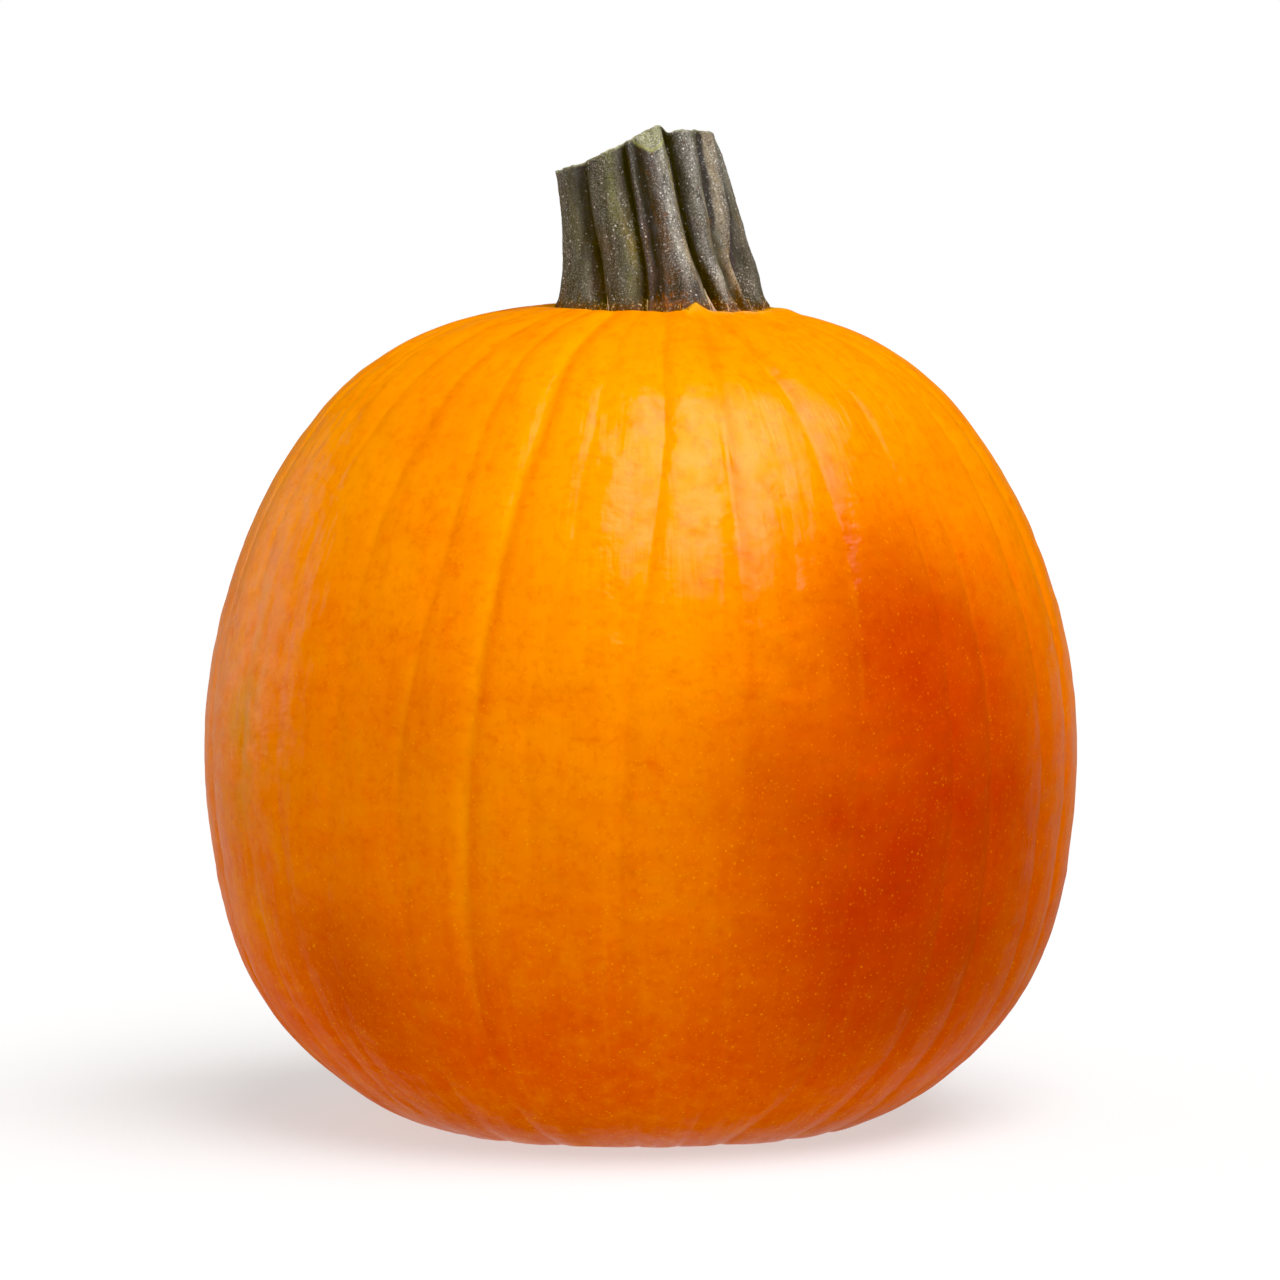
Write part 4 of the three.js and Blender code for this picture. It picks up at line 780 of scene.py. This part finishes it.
def rind_material():
    k = Nodes("rind")
    obj = k.obj()
    rib = k.attr("rib", "Vector")
    lat = k.attr("lat")
    pale_groove_and_highlight = k.attr("pale_groove_and_highlight")
    # ground colour: deep orange below, yellow-orange on the shoulder
    hgt = k.math("ADD", lat, k.math("MULTIPLY", k.math("SUBTRACT", k.noise(obj, 22, 2), 0.5), 0.5))
    c = k.mix(k.ramp(lat, -0.66, -0.42), (0.79, 0.124, 0.0020), (0.77, 0.092, 0.0020))
    c = k.mix(k.ramp(hgt, -0.52, 0.06), c, (0.89, 0.192, 0.0020))
    c = k.mix(k.ramp(hgt, 0.04, 0.55), c, (0.91, 0.272, 0.0025))
    # painted light: lighter yellow-orange on the front under the soft box, and lighter yellow patches round the back
    c = k.mix(k.attr("yellow_and_painted_light"), c, (0.93, 0.350, 0.003))
    # cloudy mottling, drawn out round the fruit, and streaks along the ribs
    cloud = k.noise(k.scaled(rib, (42, 42, 75)), 1.0, 3, 0.55)
    c = k.mix(k.ramp(cloud, 0.50, 0.72, 0, 0.45), c, (0.94, 0.72, 0.8), "MULTIPLY")
    c = k.mix(k.ramp(cloud, 0.48, 0.28, 0, 0.22), c, (0.92, 0.280, 0.003))
    spots = k.noise(k.scaled(rib, (170, 170, 210)), 1.0, 3, 0.6)
    c = k.mix(k.ramp(spots, 0.50, 0.68, 0, 0.48), c, (0.94, 0.74, 0.8), "MULTIPLY")
    c = k.mix(k.ramp(spots, 0.46, 0.30, 0, 0.18), c, (0.92, 0.280, 0.003))
    streak = k.noise(k.scaled(rib, (240, 240, 16)), 1.0, 2, 0.5)
    c = k.mix(k.ramp(streak, 0.50, 0.70, 0, 0.24), c, (0.95, 0.76, 0.8), "MULTIPLY")
    c = k.mix(k.ramp(streak, 0.46, 0.30, 0, 0.12), c, (0.94, 0.300, 0.003))
    # blush: deep red-orange patches, those on the right side partly painted shade
    blush_and_painted_shade = k.math("MULTIPLY", k.attr("blush_and_painted_shade"), k.ramp(k.noise(k.scaled(rib, (30, 30, 36)), 1.0, 5, 0.55), 0.22, 0.78, 0.82, 1.06))
    c = k.mix(k.math("MULTIPLY", blush_and_painted_shade, 1.0, clamp=True), c, (0.49, 0.018, 0.0010))
    c = k.mix(k.math("MULTIPLY", k.attr("olive"), k.ramp(k.noise(obj, 70, 3), 0.40, 0.68, 0.0, 0.5)), c, (0.62, 0.28, 0.015))
    # paler grooves, with painted highlight on the lit rib side beside each
    lf = k.math("MULTIPLY", k.ramp(pale_groove_and_highlight, 0.2, 1.8, 0, 0.75), k.ramp(k.noise(k.scaled(rib, (40, 40, 60)), 1.0, 2), 0.3, 0.65, 0.55, 1.0))
    c = k.mix(lf, c, (0.93, 0.330, 0.003))
    # painted shade: a dark line along the crease beside each listed groove
    c = k.mix(k.math("MULTIPLY", k.attr("crease"), k.ramp(k.noise(k.scaled(rib, (60, 60, 60)), 1.0, 2), 0.3, 0.6, 0.45, 0.85)), c, (0.93, 0.72, 0.8), "MULTIPLY")
    # fine cloudiness
    fine = k.noise(obj, 420, 3, 0.6)
    c = k.mix(k.ramp(fine, 0.50, 0.68, 0, 0.55), c, (0.92, 0.74, 0.8), "MULTIPLY")
    # pale specks
    v1 = k.voronoi(obj, 480)
    size = k.ramp(k.noise(obj, 150, 1), 0.3, 0.7, 0.09, 0.17, "LINEAR")
    dot = k.math("MULTIPLY", k.math("LESS_THAN", v1.outputs["Distance"], size), k.ramp(v1.outputs["Color"], 0.25, 0.30))
    v2 = k.voronoi(k.offset(obj, (0.3, 0.1, 0.2)), 800)
    dot2 = k.math("MULTIPLY", k.ramp(v2.outputs["Distance"], 0.18, 0.28, 1, 0), k.ramp(v2.outputs["Color"], 0.35, 0.4))
    dens = k.math("MULTIPLY", k.ramp(lat, -0.9, 0.7, 0.62, 0.30), k.ramp(k.attr("blush_and_painted_shade"), 0.2, 1.0, 1.0, 0.6))
    c = k.mix(k.math("MULTIPLY", dot, dens), c, (0.93, 0.36, 0.006))
    c = k.mix(k.math("MULTIPLY", dot2, k.math("MULTIPLY", dens, 0.5)), c, (0.92, 0.32, 0.005))
    # round the stalk: yellow-green fringe, then thin dark brown rays at the foot, rust-brown and partly painted shade
    # where the skin meets the stalk
    sd = k.attr("stalk_d")
    sdn = k.math("ADD", sd, k.math("MULTIPLY", k.math("SUBTRACT", k.noise(k.scaled(rib, (190, 190, 25)), 1.0, 2), 0.5), 9.0))
    c = k.mix(k.ramp(sdn, 33.5, 29.0, 0, 0.75), c, (0.72, 0.40, 0.012))
    c = k.mix(k.ramp(sdn, 31.0, 28.0, 0, 0.85), c, (0.30, 0.085, 0.008))
    c = k.mix(k.math("MULTIPLY", k.attr("cream"), k.math("MULTIPLY", k.ramp(sdn, 35.5, 31.5), k.ramp(k.noise(k.scaled(rib, (320, 320, 220)), 1.0, 3, 0.6), 0.36, 0.56, 0.2, 0.9))), c, (0.87, 0.42, 0.115))
    # scar
    scar = k.attr("scar")
    cork = k.mix(k.noise(obj, 600, 4, 0.7), (0.30, 0.19, 0.09), (0.62, 0.49, 0.31))
    cork = k.mix(k.ramp(k.noise(obj, 1500, 3, 0.7), 0.5, 0.6, 0, 0.7), cork, (0.20, 0.14, 0.09))
    c = k.mix(k.ramp(k.attr("blossom_d"), 17.0, 10.0, 0, 0.55), c, (0.72, 0.34, 0.03))
    c = k.mix(scar, c, cork)
    k.put(k.bsdf.inputs["Base Color"], c)
    # finish: waxy, with a clear skin over a softer body
    rough = k.ramp(k.noise(obj, 90, 4, 0.6), 0.3, 0.7, 0.34, 0.46, "LINEAR")
    rough = k.math("ADD", rough, k.math("MULTIPLY", scar, 0.45))
    k.put(k.bsdf.inputs["Roughness"], rough)
    k.bsdf.inputs["IOR"].default_value = 1.42
    k.bsdf.inputs["Specular IOR Level"].default_value = 0.03
    wax = k.math("MULTIPLY", k.ramp(k.noise(obj, 60, 3), 0.25, 0.6, 0.28, 0.38), k.ramp(k.noise(k.scaled(rib, (200, 200, 170)), 1.0, 3, 0.6), 0.34, 0.62, 0.56, 1.16))
    wax = k.math("MULTIPLY", wax, k.math("ADD", k.ramp(lat, -0.42, 0.02, 0.42, 1.0), k.ramp(lat, -0.56, -0.74, 0, 1.5)))
    wax = k.math("MULTIPLY", wax, k.math("SUBTRACT", 1.0, k.attr("matt"), clamp=True))
    k.put(k.bsdf.inputs["Coat Weight"], k.math("MULTIPLY", k.math("SUBTRACT", 1.0, scar, clamp=True), wax))
    k.bsdf.inputs["Coat Roughness"].default_value = 0.26
    k.bsdf.inputs["Coat IOR"].default_value = 1.45
    # skin relief too fine for the mesh
    where = k.ramp(k.noise(obj, 34, 2), 0.42, 0.60)
    leather = k.math("ADD", k.math("MULTIPLY", k.noise(k.scaled(rib, (310, 310, 52)), 1.0, 2, 0.5), k.math("ADD", 0.35, k.math("MULTIPLY", where, 0.65))),
                     k.math("MULTIPLY", k.noise(k.scaled(rib, (150, 150, 240)), 1.0, 2, 0.5), k.math("SUBTRACT", 1.0, k.math("MULTIPLY", where, 0.6))))
    leather = k.math("MULTIPLY", leather, k.attr("flank"))
    pores = k.noise(obj, 1500, 2, 0.5)
    b = k.bump(leather, 0.00040, 1.0)
    b = k.bump(pores, 0.00004, 0.6, b)
    b = k.bump(k.math("MULTIPLY", scar, k.noise(obj, 1400, 4, 0.7)), 0.0006, 1.0, b)
    k.put(k.bsdf.inputs["Normal"], b)
    k.put(k.bsdf.inputs["Coat Normal"], b)
    return k.mat


def bark_material():
    k = Nodes("stalk")
    obj = k.obj()
    bark = k.attr("bark", "Vector")
    ridge = k.attr("ridge")
    # ground: purple-grey to green-grey, in drawn-out clouds
    big = k.noise(k.scaled(bark, (150, 150, 60)), 1.0, 3, 0.6)
    c = k.mix(k.ramp(big, 0.38, 0.62), (0.070, 0.058, 0.078), (0.090, 0.090, 0.080))
    # fine streaks that run up the stalk
    streak = k.noise(k.scaled(bark, (900, 900, 60)), 1.0, 3, 0.6)
    c = k.mix(k.ramp(streak, 0.50, 0.68, 0, 0.60), c, (0.170, 0.145, 0.135))
    c = k.mix(k.ramp(streak, 0.47, 0.32, 0, 0.70), c, (0.026, 0.019, 0.032))
    n2 = k.noise(k.scaled(bark, (420, 420, 160)), 1.0, 4, 0.65)
    c = k.mix(k.ramp(n2, 0.52, 0.70, 0, 0.45), c, (0.175, 0.158, 0.142))
    c = k.mix(k.ramp(n2, 0.46, 0.30, 0, 0.50), c, (0.028, 0.021, 0.034))
    jag = k.noise(k.scaled(bark, (420, 420, 160)), 1.0, 4, 0.7)
    c = k.mix(k.math("MULTIPLY", k.attr("pale"), k.ramp(jag, 0.32, 0.60, 0.15, 0.80)), c, (0.440, 0.425, 0.365))
    c = k.mix(k.math("MULTIPLY", k.attr("olive"), k.ramp(jag, 0.34, 0.60, 0.25, 0.90)), c, (0.160, 0.162, 0.062))
    c = k.mix(k.math("MULTIPLY", k.attr("gold"), k.ramp(jag, 0.34, 0.60, 0.25, 0.95)), c, (0.330, 0.235, 0.055))
    c = k.mix(k.math("MULTIPLY", k.attr("tan"), k.ramp(jag, 0.32, 0.60, 0.20, 0.90)), c, (0.450, 0.335, 0.190))
    c = k.mix(k.math("MULTIPLY", k.attr("rust"), k.ramp(jag, 0.38, 0.60, 0.10, 0.85)), c, (0.160, 0.064, 0.038))
    # painted shade on the flanks turned away from the right, with random dark mottling
    c = k.mix(k.math("MULTIPLY", k.attr("painted_shade_and_mottle"), k.ramp(jag, 0.35, 0.60, 0.4, 1.0), clamp=True), c, (0.46, 0.42, 0.48), "MULTIPLY")
    # painted shade, purplish to brown, down in the grooves
    shade = k.mix(k.attr("warm"), (0.024, 0.015, 0.036), (0.042, 0.017, 0.030))
    deep = k.math("ADD", k.attr("painted_groove_shade"), k.math("MULTIPLY", k.math("SUBTRACT", jag, 0.5), 0.9))
    c = k.mix(k.ramp(deep, 0.30, 0.85, 0.0, 0.90), c, shade)
    # foot: near-black brown, partly painted shade under the foot, then moss-green and rust, then the yellow-orange
    # fringe
    tatter = k.noise(k.scaled(bark, (700, 700, 420)), 1.0, 3, 0.7)
    foot = k.math("ADD", k.attr("low"), k.math("MULTIPLY", k.math("SUBTRACT", tatter, 0.5), 1.3))
    c = k.mix(k.ramp(foot, 0.06, 0.42, 0, 0.82), c, (0.050, 0.026, 0.008))
    c = k.mix(k.math("MULTIPLY", k.attr("moss"), k.ramp(foot, 0.30, 0.60, 0, 0.85)), c, (0.120, 0.095, 0.012))
    c = k.mix(k.math("MULTIPLY", k.attr("ember"), k.ramp(foot, 0.08, 0.40, 0, 0.90)), c, (0.270, 0.060, 0.010))
    c = k.mix(k.ramp(foot, 0.32, 0.66, 0, 0.85), c, (0.110, 0.028, 0.012))
    c = k.mix(k.ramp(foot, 0.86, 1.20, 0, 0.8), c, (0.50, 0.17, 0.012))
    # scurf: grains of every size, thickest on the crests; the pale ones are partly painted glints and are thinned where
    # painted shade lies
    crest = k.ramp(ridge, 0.10, 0.85, 0.12, 1.0)
    shadow = k.ramp(k.attr("painted_groove_shade"), 0.2, 0.9, 1.0, 0.25)
    crest = k.math("MULTIPLY", k.math("MULTIPLY", crest, shadow), k.math("MULTIPLY", k.ramp(k.attr("low"), 0.16, 0.55, 1.0, 0.15), k.ramp(k.attr("painted_shade_and_mottle"), 0.2, 1.0, 1.0, 0.55)))
    salt = k.noise(k.offset(obj, (0.05, 0.02, 0.07)), 2300, 2, 0.8)
    c = k.mix(k.math("MULTIPLY", k.ramp(salt, 0.53, 0.63, 0, 0.90), k.math("ADD", 0.08, k.math("MULTIPLY", crest, 0.85))), c, (0.420, 0.380, 0.330))
    pepper = k.noise(k.offset(obj, (0.45, 0.32, 0.17)), 2000, 2, 0.8)
    fall = k.ramp(k.noise(k.scaled(bark, (190, 190, 80)), 1.0, 3, 0.6), 0.46, 0.62, 0, 0.55)
    c = k.mix(k.math("MULTIPLY", fall, k.ramp(ridge, 0.95, 0.4, 0.5, 1.0)), c, (0.40, 0.36, 0.44), "MULTIPLY")
    c = k.mix(k.math("MULTIPLY", k.ramp(pepper, 0.54, 0.64, 0, 0.85), k.math("ADD", 0.45, k.math("MULTIPLY", crest, 0.55))), c, (0.018, 0.012, 0.022))
    jit = k.t.nodes.new("ShaderNodeVectorMath")
    jit.operation = "MULTIPLY_ADD"
    k.t.links.new(k.noise(obj, 2600, 1, 0.5, out="Color"), jit.inputs[0])
    jit.inputs[1].default_value = (0.0007, 0.0007, 0.0007)
    k.t.links.new(obj, jit.inputs[2])
    rough_obj = jit.outputs[0]
    clump = k.ramp(k.noise(obj, 260, 3, 0.6), 0.44, 0.64, 0.15, 1.0)
    g1 = k.voronoi(k.offset(rough_obj, (0.11, 0.07, 0.05)), 1250)
    s1 = k.math("MULTIPLY", k.ramp(g1.outputs["Distance"], 0.20, 0.34, 1, 0), k.math("MULTIPLY", k.ramp(g1.outputs["Color"], 0.48, 0.85), clump))
    c = k.mix(k.math("MULTIPLY", s1, k.math("MULTIPLY", crest, 0.85)), c, (0.55, 0.51, 0.45))
    heavy = k.math("ADD", k.math("MULTIPLY", k.attr("pale"), 0.8), k.math("MULTIPLY", k.attr("gold"), 0.6), clamp=True)
    g2 = k.voronoi(k.offset(rough_obj, (0.31, 0.27, 0.15)), 1500)
    s2 = k.math("MULTIPLY", k.ramp(g2.outputs["Distance"], 0.26, 0.40, 1, 0), k.math("MULTIPLY", k.ramp(g2.outputs["Color"], 0.30, 0.60), heavy))
    c = k.mix(k.math("MULTIPLY", s2, 0.90), c, (0.82, 0.80, 0.72))
    g3 = k.voronoi(k.offset(rough_obj, (0.21, 0.17, 0.35)), 760)
    s3 = k.math("MULTIPLY", k.ramp(g3.outputs["Distance"], 0.15, 0.23, 1, 0), k.math("MULTIPLY", k.ramp(g3.outputs["Color"], 0.52, 0.56), k.math("ADD", clump, 0.35, clamp=True)))
    c = k.mix(k.math("MULTIPLY", s3, k.math("ADD", 0.25, k.math("MULTIPLY", crest, 0.75)), clamp=True), c, (0.88, 0.85, 0.80))
    c = k.mix(k.math("MULTIPLY", k.attr("rimline"), k.ramp(jag, 0.35, 0.55, 0.4, 0.9)), c, (0.46, 0.45, 0.14))
    fleck = k.voronoi(k.offset(rough_obj, (0.41, 0.13, 0.09)), 1150)
    flecks = k.math("MULTIPLY", k.ramp(fleck.outputs["Distance"], 0.24, 0.38, 1, 0), k.math("MULTIPLY", k.ramp(fleck.outputs["Color"], 0.40, 0.60), k.ramp(k.attr("low"), 0.12, 0.40, 0, 0.85)))
    c = k.mix(flecks, c, k.mix(k.ramp(tatter, 0.45, 0.6), (0.52, 0.20, 0.03), (0.58, 0.44, 0.22)))
    # dry strands, rust to straw
    tone = k.attr("strand_tone")
    dry = k.mix(k.ramp(tone, 0.1, 0.5), (0.42, 0.14, 0.02), (0.52, 0.36, 0.16))
    dry = k.mix(k.ramp(tone, 0.6, 0.95), dry, (0.72, 0.48, 0.32))
    c = k.mix(k.attr("strand"), c, dry)
    # knife cut: greenish rim, straw pith, brown core
    cr = k.attr("cut_r")
    cutc = k.mix(k.ramp(cr, 0.80, 0.97), (0.40, 0.32, 0.19), (0.36, 0.36, 0.20))
    cutc = k.mix(k.ramp(cr, 0.30, 0.10, 0, 0.85), cutc, (0.13, 0.08, 0.045))
    cutc = k.mix(k.ramp(k.noise(obj, 210, 3, 0.6), 0.48, 0.62, 0, 0.55), cutc, (0.20, 0.18, 0.095))
    cutc = k.mix(k.ramp(k.noise(obj, 480, 4, 0.7), 0.46, 0.64, 0, 0.75), cutc, (0.15, 0.125, 0.075))
    cutc = k.mix(k.ramp(k.noise(obj, 900, 3, 0.7), 0.52, 0.62, 0, 0.55), cutc, (0.52, 0.50, 0.33))
    ringf = k.math("MULTIPLY", k.ramp(cr, 0.70, 0.80), k.ramp(cr, 0.90, 0.82))
    dots = k.voronoi(obj, 380)
    cutc = k.mix(k.math("MULTIPLY", ringf, k.ramp(dots.outputs["Distance"], 0.25, 0.42, 0.8, 0)), cutc, (0.15, 0.12, 0.06))
    skinned = k.ramp(cr, 0.985, 0.998)
    cutc = k.mix(k.math("MULTIPLY", skinned, k.ramp(pepper, 0.50, 0.62, 0, 0.75)), cutc, (0.07, 0.06, 0.03))
    cutc = k.mix(k.math("MULTIPLY", skinned, k.ramp(salt, 0.52, 0.62, 0, 0.75)), cutc, (0.62, 0.60, 0.46))
    cutc = k.mix(k.math("MULTIPLY", s1, 0.5), cutc, (0.62, 0.60, 0.50))
    c = k.mix(k.attr("cut"), c, cutc)
    k.put(k.bsdf.inputs["Base Color"], c)
    k.put(k.bsdf.inputs["Roughness"], k.ramp(n2, 0.3, 0.7, 0.55, 0.80, "LINEAR"))
    k.bsdf.inputs["Specular IOR Level"].default_value = 0.35
    grain = k.noise(k.scaled(bark, (1500, 1500, 260)), 1.0, 4, 0.7)
    b = k.bump(grain, 0.00055, 0.9)
    b = k.bump(k.math("ADD", k.math("MULTIPLY", salt, 0.8), k.math("ADD", k.math("MULTIPLY", s1, 0.5), k.math("MULTIPLY", s3, 0.8))), 0.00016, 0.8, b)
    k.put(k.bsdf.inputs["Normal"], b)
    return k.mat


def floor_material():
    k = Nodes("paper")
    obj = k.obj()
    c = k.mix(k.ramp(k.noise(obj, 900, 2), 0.3, 0.7), (0.36, 0.36, 0.357), (0.38, 0.38, 0.377))
    k.put(k.bsdf.inputs["Base Color"], c)
    k.bsdf.inputs["Roughness"].default_value = 0.6
    k.bsdf.inputs["Specular IOR Level"].default_value = 0.2
    k.bsdf.inputs["Emission Color"].default_value = (1, 1, 1, 1)
    ray = k.t.nodes.new("ShaderNodeLightPath")
    sep = k.t.nodes.new("ShaderNodeSeparateXYZ")
    k.t.links.new(obj, sep.inputs[0])
    glow = k.ramp(sep.outputs["Y"], -0.12, 0.10, 0.38, -0.30)
    extra = k.math("ADD", k.math("MULTIPLY", ray.outputs["Is Camera Ray"], 0.14), k.math("MULTIPLY", ray.outputs["Is Glossy Ray"], glow))
    shade = k.math("MULTIPLY", k.math("SUBTRACT", 1.0, ray.outputs["Is Camera Ray"]), k.ramp(sep.outputs["X"], 0.0, 0.26, 0, -0.33))
    k.put(k.bsdf.inputs["Emission Strength"], k.math("ADD", k.math("ADD", 0.41, extra), shade, clamp=True))
    return k.mat


# ------------------------------------------------------------------ build
fruit = fruit_mesh()
fruit.data.materials.append(rind_material())
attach(fruit, "root")
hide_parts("fruit")

_near = mathutils.kdtree.KDTree(len(fruit.data.vertices))
for _v in fruit.data.vertices:
    if _v.co.z > 0.19:
        _near.insert((_v.co.x, _v.co.y, 0.0), _v.index)
_near.balance()


def skin_top(x_mm, y_mm):
    found = _near.find_n((x_mm * MM, y_mm * MM, 0.0), 3)
    return sum(fruit.data.vertices[i].co.z for _, i, _ in found) / len(found) / MM


stalk = stalk_mesh(skin_top)
stalk.data.materials.append(bark_material())
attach(stalk, "root")
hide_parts("stem")

# ------------------------------------------------------------------ stage, light, camera
fm = bpy.data.meshes.new("floor")
fm.from_pydata([(-25, -25, 0), (25, -25, 0), (25, 25, 0), (-25, 25, 0)], [], [(0, 1, 2, 3)])
floor = bpy.data.objects.new("floor", fm)
bpy.context.scene.collection.objects.link(floor)
fm.materials.append(floor_material())
floor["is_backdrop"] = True

world = bpy.data.worlds.new("studio")
bpy.context.scene.world = world
world.use_nodes = True
wt = world.node_tree
wt.nodes.clear()


def w_math(op, a, b=0.0, clamp=False):
    n = wt.nodes.new("ShaderNodeMath")
    n.operation, n.use_clamp = op, clamp
    for i, v in enumerate((a, b)):
        if isinstance(v, (int, float)):
            n.inputs[i].default_value = v
        else:
            wt.links.new(v, n.inputs[i])
    return n.outputs[0]


def w_step(value, lo, hi):
    n = wt.nodes.new("ShaderNodeMapRange")
    n.interpolation_type = "SMOOTHSTEP"
    wt.links.new(value, n.inputs["Value"])
    n.inputs["From Min"].default_value = lo
    n.inputs["From Max"].default_value = hi
    return n.outputs[0]


w_dir = wt.nodes.new("ShaderNodeTexCoord").outputs["Generated"]
w_xyz = wt.nodes.new("ShaderNodeSeparateXYZ")
wt.links.new(w_dir, w_xyz.inputs[0])
# a large soft box overhead, in front and to the right: four planes through the middle bound it
box_c = np.array([0.30, -0.40, 0.866])
box_c /= np.linalg.norm(box_c)
box_u = np.cross([0.0, 1.0, 0.0], box_c)
box_u /= np.linalg.norm(box_u)
box_v = np.cross(box_c, box_u)
inside = None
for au, av, ac in ((1.0, 0.12, 0.46), (0.0, 1.0, 0.60), (-1.0, 0.32, 0.33), (0.55, -1.0, 0.66)):
    plane = au * box_u + av * box_v + ac * box_c
    plane /= np.linalg.norm(plane)
    n = wt.nodes.new("ShaderNodeVectorMath")
    n.operation = "DOT_PRODUCT"
    wt.links.new(w_dir, n.inputs[0])
    n.inputs[1].default_value = tuple(plane)
    side_mask = w_step(n.outputs["Value"], -0.03, 0.06)
    inside = side_mask if inside is None else w_math("MULTIPLY", inside, side_mask)
# behind: a dim wall, a white panel at the left and a white foot to it all along
SOFTBOX, BACKDROP, REAR, ROOM = 4.9, 1.60, 0.18, 0.38
behind = w_step(w_xyz.outputs["Y"], 0.24, 0.32)
left = w_math("MULTIPLY", w_step(w_xyz.outputs["X"], -0.35, -0.85), w_step(w_xyz.outputs["Z"], 0.47, 0.31))
low = w_math("MULTIPLY", w_math("MULTIPLY", w_step(w_xyz.outputs["Z"], 0.24, 0.12), w_step(w_xyz.outputs["X"], 0.45, 0.15)), w_math("SUBTRACT", 1.0, left))
back_level = w_math("ADD", w_math("MULTIPLY", left, BACKDROP), w_math("MULTIPLY", low, REAR))
back_level = w_math("ADD", back_level, w_math("MULTIPLY", w_math("SUBTRACT", 1.0, w_math("ADD", left, low)), 0.10))
n = wt.nodes.new("ShaderNodeVectorMath")
n.operation = "DOT_PRODUCT"
wt.links.new(w_dir, n.inputs[0])
n.inputs[1].default_value = tuple(box_c)
inside = w_math("MULTIPLY", inside, w_math("ADD", 0.64, w_math("MULTIPLY", w_step(n.outputs["Value"], 0.84, 0.99), 0.72)))
# a dark flag low down at the right keeps light off that side
flag = w_math("MULTIPLY", w_step(w_xyz.outputs["X"], 0.25, 0.60), w_step(w_xyz.outputs["Z"], 0.55, 0.25))
front_level = w_math("MULTIPLY", w_math("SUBTRACT", 1.0, w_math("MULTIPLY", flag, 0.85)), ROOM)
level = w_math("ADD", w_math("MULTIPLY", w_math("SUBTRACT", 1.0, behind), front_level), w_math("MULTIPLY", behind, back_level))
level = w_math("ADD", level, w_math("MULTIPLY", inside, SOFTBOX))
seen = wt.nodes.new("ShaderNodeLightPath").outputs["Is Camera Ray"]
level = w_math("ADD", w_math("MULTIPLY", level, w_math("SUBTRACT", 1.0, seen)), seen)
bg = wt.nodes.new("ShaderNodeBackground")
bg.inputs["Color"].default_value = (1.0, 1.0, 1.0, 1.0)
wt.links.new(level, bg.inputs["Strength"])
wo = wt.nodes.new("ShaderNodeOutputWorld")
wt.links.new(bg.outputs[0], wo.inputs["Surface"])

cam = bpy.data.cameras.new("camera")
camera = bpy.data.objects.new("camera", cam)
bpy.context.scene.collection.objects.link(camera)
from mathutils import Vector
camera.location = (0.0, -1.84, 0.2708)
aim = Vector((0.0, 0.0, 0.2708 - 1.84 * math.tan(math.radians(4.47))))
camera.rotation_euler = (aim - camera.location).to_track_quat("-Z", "Y").to_euler()
cam.sensor_width = 36.0
cam.lens = 36.0 / (2 * math.tan(math.radians(10.5) / 2))
cam.clip_start, cam.clip_end = 0.05, 50
bpy.context.scene.camera = camera
bpy.context.scene.view_settings.view_transform = "Standard"
bpy.context.scene.view_settings.look = "None"
bpy.context.scene.view_settings.exposure = 0.0
bpy.context.scene.view_settings.use_curve_mapping = True
bpy.context.scene.view_settings.curve_mapping.black_level = (0.0, 0.0, 0.021)

as_list = lambda b: [[float(v) for v in p] for p in b]
{"cad": as_list(CAD_BOX), "visual": as_list(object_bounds())}
